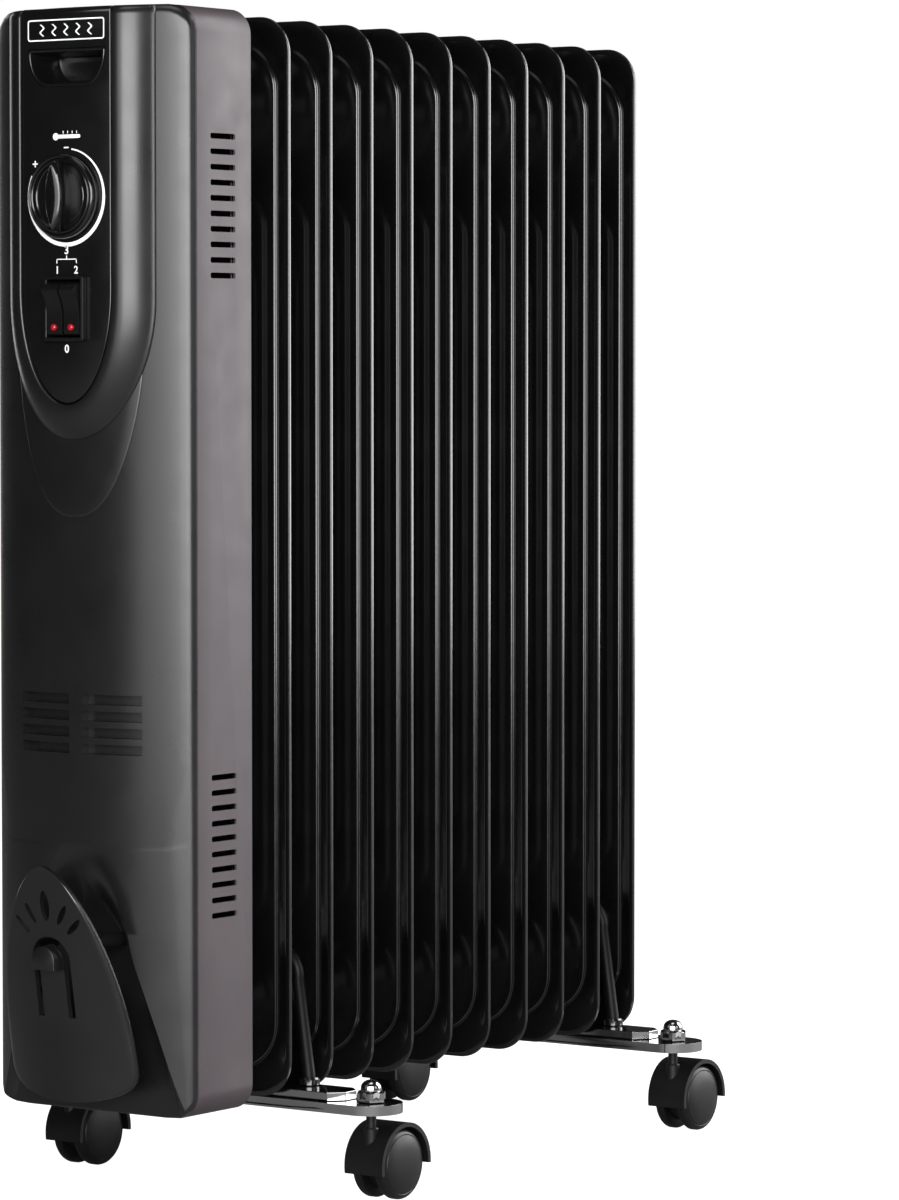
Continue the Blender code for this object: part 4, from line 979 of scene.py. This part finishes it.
def make_switches():
    low = SWITCH_Z - SWITCH_HALF_HEIGHT
    high = SWITCH_Z + SWITCH_HALF_HEIGHT
    mouth_half = ROCKER_OFFSET + ROCKER_HALF + 0.5 * MM
    mouth_reach = ROCKER_REACH + 0.5 * MM
    shell = Shell()

    def flange(inset, y):
        d = inset * MM
        outline = rounded_rect(SWITCH_HALF_WIDTH - d, low + d, high - d, 1.2 * MM, 4)
        return shell.ring(outline, y)

    def mouth(grow, y):
        g = grow * MM
        reach = mouth_reach + g
        return shell.ring(rounded_rect(mouth_half + g, SWITCH_Z - reach, SWITCH_Z + reach, 0.6 * MM, 4), y)

    face = SWITCH_FACE_Y
    tail = FASCIA_Y + 14 * MM
    loops = [mouth(0.25, face), flange(0.35, face), flange(0.08, face + 0.15 * MM)]
    loops += [flange(0, face + 0.5 * MM)]
    loops += [flange(0, FASCIA_Y - GAP), flange(1.3, FASCIA_Y - GAP), flange(1.3, tail), mouth(0, tail)]
    loops += [mouth(0, face + 0.3 * MM)]
    shell.loft(loops + loops[:1])
    piece(shell.build("switch_surround"), MATT, ROOT, "switch_frame")
    side_view = [(-7.6, 12.4), (-9.8, 10.6), (-9.9, 9.0), (-7.4, 5.2), (-5.6, 0.0), (-5.2, -6.0)]
    side_view += [(-5.6, -13.3), (-2.0, -14.4), (3.0, -14.0), (6.5, -8.0)]
    side_view += [(7.5, 0.0), (6.5, 8.0), (3.0, 14.0), (-2.0, 14.4)]
    for name, side in (("low", -1), ("med", 1)):
        x = side * ROCKER_OFFSET
        outline = [(ROCKER_PIVOT_Y + y * MM, SWITCH_Z + z * MM) for y, z in side_view]
        rocker = prism(
            f"rocker_key_{name}", rounded(outline, 2), x - ROCKER_HALF, x + ROCKER_HALF, along_x, angle=50
        )
        piece(soften(rocker, 0.45 * MM, 3), MATT, f"{name}_rocker", f"rocker_{name}")
        lens = [(0, -0.3), (1.75, -0.3), (1.75, 0.45), (1.6, 0.85), (1.2, 1.15), (0.6, 1.33), (0, 1.38)]
        place = at(x, ROCKER_PIVOT_Y - 5.75 * MM, SWITCH_Z - 9.8 * MM, TOWARD_FRONT)
        lamp = lathe(f"rocker_lamp_{name}", lens, place, 32)
        piece(lamp, LAMP, f"{name}_rocker", f"lamp_{name}")


# ---- cord wrap


def plate_half_width(z):
    t = min(max((PLATE_TOP - z) / (PLATE_TOP - PLATE_LOW), 0.0), 1.0)
    if t <= PLATE_WIDEST:
        return PLATE_HALF * (1 - (1 - t / PLATE_WIDEST) ** 2.1) ** 0.62
    return PLATE_HALF * sqrt(max(0.0, 1 - ((t - PLATE_WIDEST) / (1 - PLATE_WIDEST)) ** 2.4))


def plate_face(x, z):
    t = (PLATE_TOP - z) / (PLATE_TOP - PLATE_LOW)
    return PLATE_TOP_Y + (23 * t - 3 * t * t) * MM + (2.2 + 4 * t) * x * x


# Angle from upright, X, height above the fins' foot, length and half width, in millimetres.
PETALS = (
    (-46, -17.1, 100.8, 12.0, 1.6),
    (-31, -10.4, 106.9, 12.1, 1.6),
    (0, 0.0, 111.4, 16.2, 2.9),
    (31, 10.4, 106.9, 12.1, 1.6),
    (46, 17.1, 100.8, 12.0, 1.6),
)


def make_cord_plate():
    """Teardrop plate with a sunrise of slots, an arched slot and the cord clip."""
    shell = Shell()
    count = 48
    levels = [0.5 - 0.5 * cos(pi * (i + 1) / (count + 1)) for i in range(count)]
    columns = (1.0, 0.985, 0.955, 0.9, 0.7, 0.5, 0.25, 0.0)
    columns += tuple(-c for c in reversed(columns[:-1]))
    fronts = []
    backs = []
    for level in levels:
        z = PLATE_TOP - (PLATE_TOP - PLATE_LOW) * level
        half = plate_half_width(z)
        front = []
        back = []
        for c in columns:
            x = half * c
            edge = min(1.0, (1 - abs(c)) / 0.045)
            soft = 1.3 * MM * (1 - sqrt(1 - (1 - edge) ** 2))
            y = plate_face(x, z)
            front.append((x, y + soft, z))
            back.append((x, y + PLATE_THICK, z))
        fronts.append(shell.ring3(front))
        backs.append(shell.ring3(back))
    shell.loft(fronts, closed=False)
    shell.loft(backs, closed=False)
    for column in (0, -1):
        shell.band([r[column] for r in fronts], [r[column] for r in backs], closed=False)
    for z, row in ((PLATE_TOP, 0), (PLATE_LOW, -1)):
        y = plate_face(0, z)
        tip = shell.ring3([(0, y + 1.2 * MM, z), (0, y + PLATE_THICK - 0.4 * MM, z)])
        for rows, end in ((fronts, tip[0]), (backs, tip[1])):
            for a, b in zip(rows[row], rows[row][1:]):
                shell.faces.append((a, b, end))
        for side in (0, -1):
            shell.faces.append((fronts[row][side], backs[row][side], tip[1], tip[0]))
    plate = shell.build("cord_wrap_plate", 45)
    floor_y = SEAM_Y - RECESS_FLOOR - GAP
    posts = [(x, FIN_BOTTOM + 91.5 * MM) for x in (-19 * MM, 19 * MM)] + [(0, FIN_BOTTOM + 26 * MM)]
    for x, z in posts:
        top = plate_face(x, z) + 1.5 * MM
        post = [(0, -floor_y / MM), (3.9, -floor_y / MM), (3.9, -top / MM), (0, -top / MM)]
        combine(plate, lathe("post", post, at(x, 0, z, TOWARD_FRONT), 24), "UNION")
    front = PLATE_TOP_Y - 10 * MM
    back = SEAM_Y - 22 * MM
    slot = [(ARCH_OUTER, ARCH_LOW), *arc((0, ARCH_Z), ARCH_OUTER, 0, 180, 24), (-ARCH_OUTER, ARCH_LOW)]
    slot += [(-ARCH_INNER, ARCH_LOW), *arc((0, ARCH_Z), ARCH_INNER, 180, 0, 24), (ARCH_INNER, ARCH_LOW)]
    combine(plate, prism("arch_slot", slot, front, back, along_y))
    petals = Shell()
    for angle, x, z, length, half in PETALS:
        a = radians(90 - angle)
        along = Vector((cos(a), sin(a)))
        across = Vector((-sin(a), cos(a)))
        centre = Vector((x * MM, FIN_BOTTOM + z * MM))
        points = []
        for i in range(24):
            b = 2 * pi * i / 24
            points.append(centre + along * (length / 2 * MM * cos(b)) + across * (half * MM * sin(b)))
        petals.solid([petals.ring(points, front), petals.ring(points, back)])
    combine(plate, petals.build("petal_cutter"))
    face = plate_face(0, ARCH_Z)
    clip = Shell()
    rings = []
    for inset, y in ((0.3, 1.6), (0.3, -6.3), (0.45, -6.75), (0.9, -7.0)):
        half = ARCH_INNER - inset * MM
        low = CLIP_LOW + max(0.0, inset - 0.3) * MM
        points = [(half, low), *arc((0, ARCH_Z), half, 0, 180, 24), (-half, low)]
        rings.append(clip.ring(points, face + y * MM))
    clip.solid(rings)
    combine(plate, clip.build("clip_tab"), "UNION")
    piece(plate, SATIN, ROOT, "cord_plate")


# ---- feet


def middle(node):
    low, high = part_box(node)
    return (low + high) / 2


def make_foot_bar(end):
    bar_low, bar_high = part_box(f"foot_bar_{end}")
    y = (bar_low.y + bar_high.y) / 2
    stem_x = bar_high.x - BAR_END
    bolt_y = middle(f"u_bolt_{end}").y
    outline = arc((stem_x, y), BAR_END, -90, 90, 24) + arc((-stem_x, y), BAR_END, 90, 270, 24)
    holes = [circle((x, bolt_y), U_ROD + 0.5 * MM, 20) for x in (-U_FOOT, U_FOOT)]
    stems = [circle((x, y), STEM_RADIUS + 0.4 * MM, 20) for x in (-stem_x, stem_x)]
    bar = prism(f"cross_bar_{end}", outline, BAR_BOTTOM, BAR_TOP, along_z, stems + holes)
    groove = Shell()
    for side in (-1, 1):
        loops = []
        for x, low, high in ((-85, 1.9, 2.0), (-60, 1.1, 3.3), (60, 1.1, 3.3), (85, 1.9, 2.0)):
            deep = y + side * (BAR_END - 2.2 * MM)
            out = y + side * (BAR_END + 1.0 * MM)
            section = [(deep, low), (out, low), (out, high), (deep, high)]
            loops.append(groove.ring3([(x * MM, v, BAR_BOTTOM + w * MM) for v, w in section]))
        groove.solid(loops)
    combine(bar, groove.build("edge_groove"))
    piece(soften(bar, 0.7 * MM, 3), CHROME, ROOT, f"foot_bar_{end}")
    half = 12 * MM
    cut = 7 * MM
    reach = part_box(f"clamp_plate_{end}")[1].x
    corner = [(reach - cut, y - half), (reach, y - half + cut)]
    plate = corner + [(x, 2 * y - v) for x, v in reversed(corner)]
    plate += [(-x, 2 * y - v) for x, v in plate]
    low = BAR_TOP + GAP
    clamp = prism(f"clamp_strip_{end}", plate, low, low + CLAMP_THICK, along_z, holes)
    piece(soften(clamp, 0.6 * MM, 3), CHROME, ROOT, f"clamp_plate_{end}")
    make_u_bolt(end, bolt_y)


def make_u_bolt(end, y):
    """Flat-topped arch over the header, with spreading legs that stand on collars."""
    bend_z = BAR_TOP + CLAMP_THICK + 4 * MM
    foot_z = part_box(f"u_bolt_{end}")[0].z
    nut_low, nut_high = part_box(f"clamp_nut_{end}_right")
    lean = atan(U_SLOPE)
    bend = FIN_BOTTOM + HEADER_FROM_END + U_RISE - U_BEND
    lowest = bend - U_BEND * sin(lean)
    middle_x = U_FOOT - U_SLOPE * (lowest - bend_z) - U_BEND * cos(lean)
    half = [(U_FOOT, foot_z), (U_FOOT, bend_z - 3 * MM), (U_FOOT, bend_z - 1 * MM)]
    half += [(U_FOOT - U_SLOPE * 3 * MM, bend_z + 3 * MM)]
    half += arc((middle_x, bend), U_BEND, -degrees(lean), 90, 14)
    half += [(0, FIN_BOTTOM + HEADER_FROM_END + U_RISE)]
    path = [Vector((x, y, z)) for x, z in half]
    path += [Vector((-x, y, z)) for x, z in reversed(half[:-1])]
    shell = Shell()
    rings = []
    across = Vector((0, 1, 0))
    for i, point in enumerate(path):
        ahead = (path[min(i + 1, len(path) - 1)] - path[max(i - 1, 0)]).normalized()
        side = ahead.cross(across).normalized()
        rings.append(shell.ring3([point + side * u + across * v for u, v in circle((0, 0), U_ROD, 24)]))
    shell.solid(rings)
    bolt = shell.build(f"header_bolt_{end}", 50)
    piece(bolt, BOLT, ROOT, f"u_bolt_{end}")
    height = (nut_high.z - nut_low.z) / MM
    collar = [(4.0, 0), (5.4, 0), (5.75, 0.35), (5.75, height - 1.0), (5.0, height), (4.0, height)]
    for label, x in (("left", -U_FOOT), ("right", U_FOOT)):
        ring = lathe(f"clamp_collar_{end}_{label}", collar, at(x, y, nut_low.z), 40)
        piece(ring, ENAMEL, ROOT, f"clamp_nut_{end}_{label}")


def make_acorn_nut(name, node):
    low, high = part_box(node)
    x = (low.x + high.x) / 2
    y = (low.y + high.y) / 2
    shell = Shell()
    rings = []
    for shrink, height in ((0.5, 0.0), (0.0, 0.4), (0.0, 5.0)):
        points = circle((x, y), NUT_FLATS / sqrt(3) - shrink * MM, 6)
        dense = []
        for (ax, ay), (bx, by) in zip(points, points[1:] + points[:1]):
            for k in range(6):
                t = k / 6
                dense.append((ax + (bx - ax) * t, ay + (by - ay) * t, low.z + height * MM))
        rings.append(shell.ring3(dense))
    dome = ((7.0, 5.75), (6.1, 5.9), (5.7, 6.1), (5.65, 7.6), (5.4, 8.8), (4.8, 9.9), (3.8, 10.9))
    dome += ((2.4, 11.55), (0.8, (high.z - low.z) / MM))
    for radius, height in dome:
        points = circle((x, y), radius * MM, 36)
        rings.append(shell.ring3([(px, py, low.z + height * MM) for px, py in points]))
    shell.solid(rings)
    piece(shell.build(name, 30), CHROME, ROOT, node)


def make_hood(name, centre, body, node):
    """Half-round hood over both wheels, with the web, axle and the boss that takes the stem."""
    x, y, z = centre
    outline = arc((y, z), HOOD_RADIUS, -4, 190, 48) + arc((y, z), HOOD_INNER, 190, -4, 48)
    hood = prism(name, outline, x - WHEEL_HALF, x + WHEEL_HALF, along_x, angle=50)
    web = arc((y, z), HOOD_INNER + 1 * MM, 0, 180, 32) + arc((y, z), 14 * MM, 200, 340, 16)
    web_piece = prism("web", web, x - HOOD_WEB_HALF, x + HOOD_WEB_HALF, along_x)
    combine(hood, web_piece, "UNION")
    reach = WHEEL_HALF / MM - 2
    axle = [(0, -reach), (2.5, -reach), (2.5, reach), (0, reach)]
    combine(hood, lathe("axle", axle, at(x, y, z, TOWARD_RIGHT), 32), "UNION")
    top = HOOD_RADIUS / MM - 1.6
    boss = [(0, 4), (4.1, 6), (4.1, top - 0.8), (3.6, top), (0, top)]
    combine(hood, lathe("boss", boss, at(x, y - CASTER_TRAIL, z), 32), "UNION")
    bore = [(0, 9), (3.15, 9), (3.15, top + 4), (0, top + 4)]
    combine(hood, lathe("bore", bore, at(x, y - CASTER_TRAIL, z), 32))
    piece(soften(hood, 0.5 * MM), MATT, body, node)


def make_wheel(name, centre_yz, x, toward, body, node):
    profile = [(0, 10.9), (2.75, 10.9), (2.75, 4.4), (17.4, 4.4), (18.6, 4.8), (19.0, 5.6), (19.0, 8.6)]
    profile += [(18.7, 9.5), (18.1, 10.2), (17.3, 10.7), (16.4, 11.0), (16.1, 10.8), (15.8, 11.15)]
    profile += [(13.0, 11.85), (9.0, 12.35), (4.5, 12.6), (0, 12.68)]
    place = at(x, *centre_yz, toward)
    piece(lathe(name, profile, place, 80), MATT, body, node)


def make_casters():
    for end in ("front", "rear"):
        for label, side in (("left", -1), ("right", 1)):
            where = f"{end}_{label}"
            stem = middle(f"caster_stem_{where}")
            wheel = middle(f"wheel_{where}_outer")
            centre = (stem.x, stem.y + CASTER_TRAIL, wheel.z)
            make_hood(f"hood_{where}", centre, f"caster_{where}", f"caster_hood_{where}")
            for part in ("outer", "inner"):
                outward = side if part == "outer" else -side
                toward = TOWARD_RIGHT if outward > 0 else TOWARD_LEFT
                node = f"wheel_{where}_{part}"
                make_wheel(f"roller_{where}_{part}", centre[1:], stem.x, toward, f"{node}_body", node)
            low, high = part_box(f"caster_stem_{where}")
            radius = STEM_RADIUS / MM
            base = low.z / MM
            top = high.z / MM
            pin = [(0, base), (radius - 0.3, base), (radius, base + 0.3), (radius, top), (0, top)]
            rod = lathe(f"swivel_pin_{where}", pin, at(stem.x, stem.y, 0), 32)
            piece(rod, MATT, ROOT, f"caster_stem_{where}")
            make_acorn_nut(f"cap_nut_{where}", f"acorn_nut_{where}")


# ---- carried-over nodes


def finish_inner_nodes():
    inner = {"thermostat_body": ZINC, "heating_element": ZINC, "element_flange": ZINC, "oil_fill_plug": ZINC}
    inner["cord_gland"] = MATT
    for node, finish in inner.items():
        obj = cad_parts[node]
        if not obj.material_slots:
            obj.data.materials.append(finish.mat)
        for material_slot in obj.material_slots:
            material_slot.material = finish.mat


# ---- stage, camera and light


# Name, azimuth (0 is in front of the panel), distance, height, width, tall side and radiance.
LIGHTS = (
    ("side_light", 145, 2.6, 1.35, 2.0, 2.6, 9.0),
    ("front_light", 37, 3.0, 0.9, 2.5, 1.7, 11.5),
    ("cover_light", 4, 3.0, 0.9, 1.1, 1.7, 3.6),
    ("right_light", 88, 2.8, 0.9, 1.0, 1.3, 1.3),
    ("left_light", -108, 2.6, 0.9, 0.7, 1.6, 2.0),
    ("top_light", 20, 0.6, 3.2, 1.6, 1.6, 2.0),
)
LIGHT_TARGET = (0, 0, 0.35)
FLOOR_HALF = 12
CAMERA_PLACE = (1.6782, -2.2832, 0.4478)
CAMERA_LENS = 151.77
CAMERA_TURN = 34.84
CAMERA_TILT = 2.65


def aim(obj, target):
    obj.rotation_euler = (Vector(target) - obj.location).to_track_quat("-Z", "Y").to_euler()


def softbox(name, azimuth, distance, height, width, tall, radiance):
    """An area light; azimuth 90 is on the heater's right."""
    light = bpy.data.lights.new(name, "AREA")
    light.shape = "RECTANGLE"
    light.size = width
    light.size_y = tall
    light.energy = radiance * pi * width * tall
    obj = bpy.data.objects.new(name, light)
    bpy.context.scene.collection.objects.link(obj)
    a = radians(azimuth)
    obj.location = (distance * sin(a), -distance * cos(a), height)
    aim(obj, LIGHT_TARGET)
    obj.visible_camera = False


def split_by_ray(tree, unseen, seen, target):
    """Shows one shader to the camera and the other to every other ray."""
    ray = tree.nodes.new("ShaderNodeLightPath")
    mix = tree.nodes.new("ShaderNodeMixShader")
    tree.links.new(ray.outputs["Is Camera Ray"], mix.inputs["Fac"])
    tree.links.new(unseen, mix.inputs[1])
    tree.links.new(seen, mix.inputs[2])
    tree.links.new(mix.outputs["Shader"], target)


def make_stage():
    mesh = bpy.data.meshes.new("studio_floor")
    corners = [(x * FLOOR_HALF, y * FLOOR_HALF, 0) for x, y in ((-1, -1), (1, -1), (1, 1), (-1, 1))]
    mesh.from_pydata(corners, [], [(0, 1, 2, 3)])
    floor = link("studio_floor", mesh)
    mat = bpy.data.materials.new("studio_floor")
    mat.use_nodes = True
    nodes = mat.node_tree.nodes
    links = mat.node_tree.links
    shader = nodes["Principled BSDF"]
    set_inputs(shader, {"Base Color": (0.3, 0.3, 0.3, 1), "Roughness": 0.9, "Specular IOR Level": 0.1})
    glow = nodes.new("ShaderNodeEmission")
    glow.inputs["Strength"].default_value = 1.0
    sum_up = nodes.new("ShaderNodeAddShader")
    links.new(shader.outputs["BSDF"], sum_up.inputs[0])
    links.new(glow.outputs["Emission"], sum_up.inputs[1])
    surface = nodes["Material Output"].inputs["Surface"]
    split_by_ray(mat.node_tree, shader.outputs["BSDF"], sum_up.outputs["Shader"], surface)
    mesh.materials.append(mat)

    world = bpy.data.worlds.new("studio")
    world.use_nodes = True
    nodes = world.node_tree.nodes
    seen = nodes["Background"]
    set_inputs(seen, {"Color": (1, 1, 1, 1), "Strength": 1.0})
    unseen = nodes.new("ShaderNodeBackground")
    set_inputs(unseen, {"Color": (0.03, 0.03, 0.032, 1)})
    surface = nodes["World Output"].inputs["Surface"]
    split_by_ray(world.node_tree, unseen.outputs["Background"], seen.outputs["Background"], surface)
    bpy.context.scene.world = world

    for light in LIGHTS:
        softbox(*light)


def make_camera():
    camera = bpy.data.cameras.new("camera")
    camera.lens = CAMERA_LENS
    camera.sensor_width = 36
    obj = bpy.data.objects.new("camera", camera)
    bpy.context.scene.collection.objects.link(obj)
    obj.location = CAMERA_PLACE
    turn = radians(CAMERA_TURN)
    tilt = radians(CAMERA_TILT)
    direction = Vector((-sin(turn) * cos(tilt), cos(turn) * cos(tilt), -sin(tilt)))
    obj.rotation_euler = direction.to_track_quat("-Z", "Y").to_euler()
    bpy.context.scene.camera = obj


make_stage()
make_camera()
make_fins()
make_box_shell()
make_front_cover()
make_shield()
make_bezel()
make_fascia()
make_handle_cup()
make_marks()
make_knob()
make_switches()
make_cord_plate()
make_foot_bar("front")
make_foot_bar("rear")
make_casters()
finish_inner_nodes()
bpy.context.scene.view_settings.view_transform = "Standard"
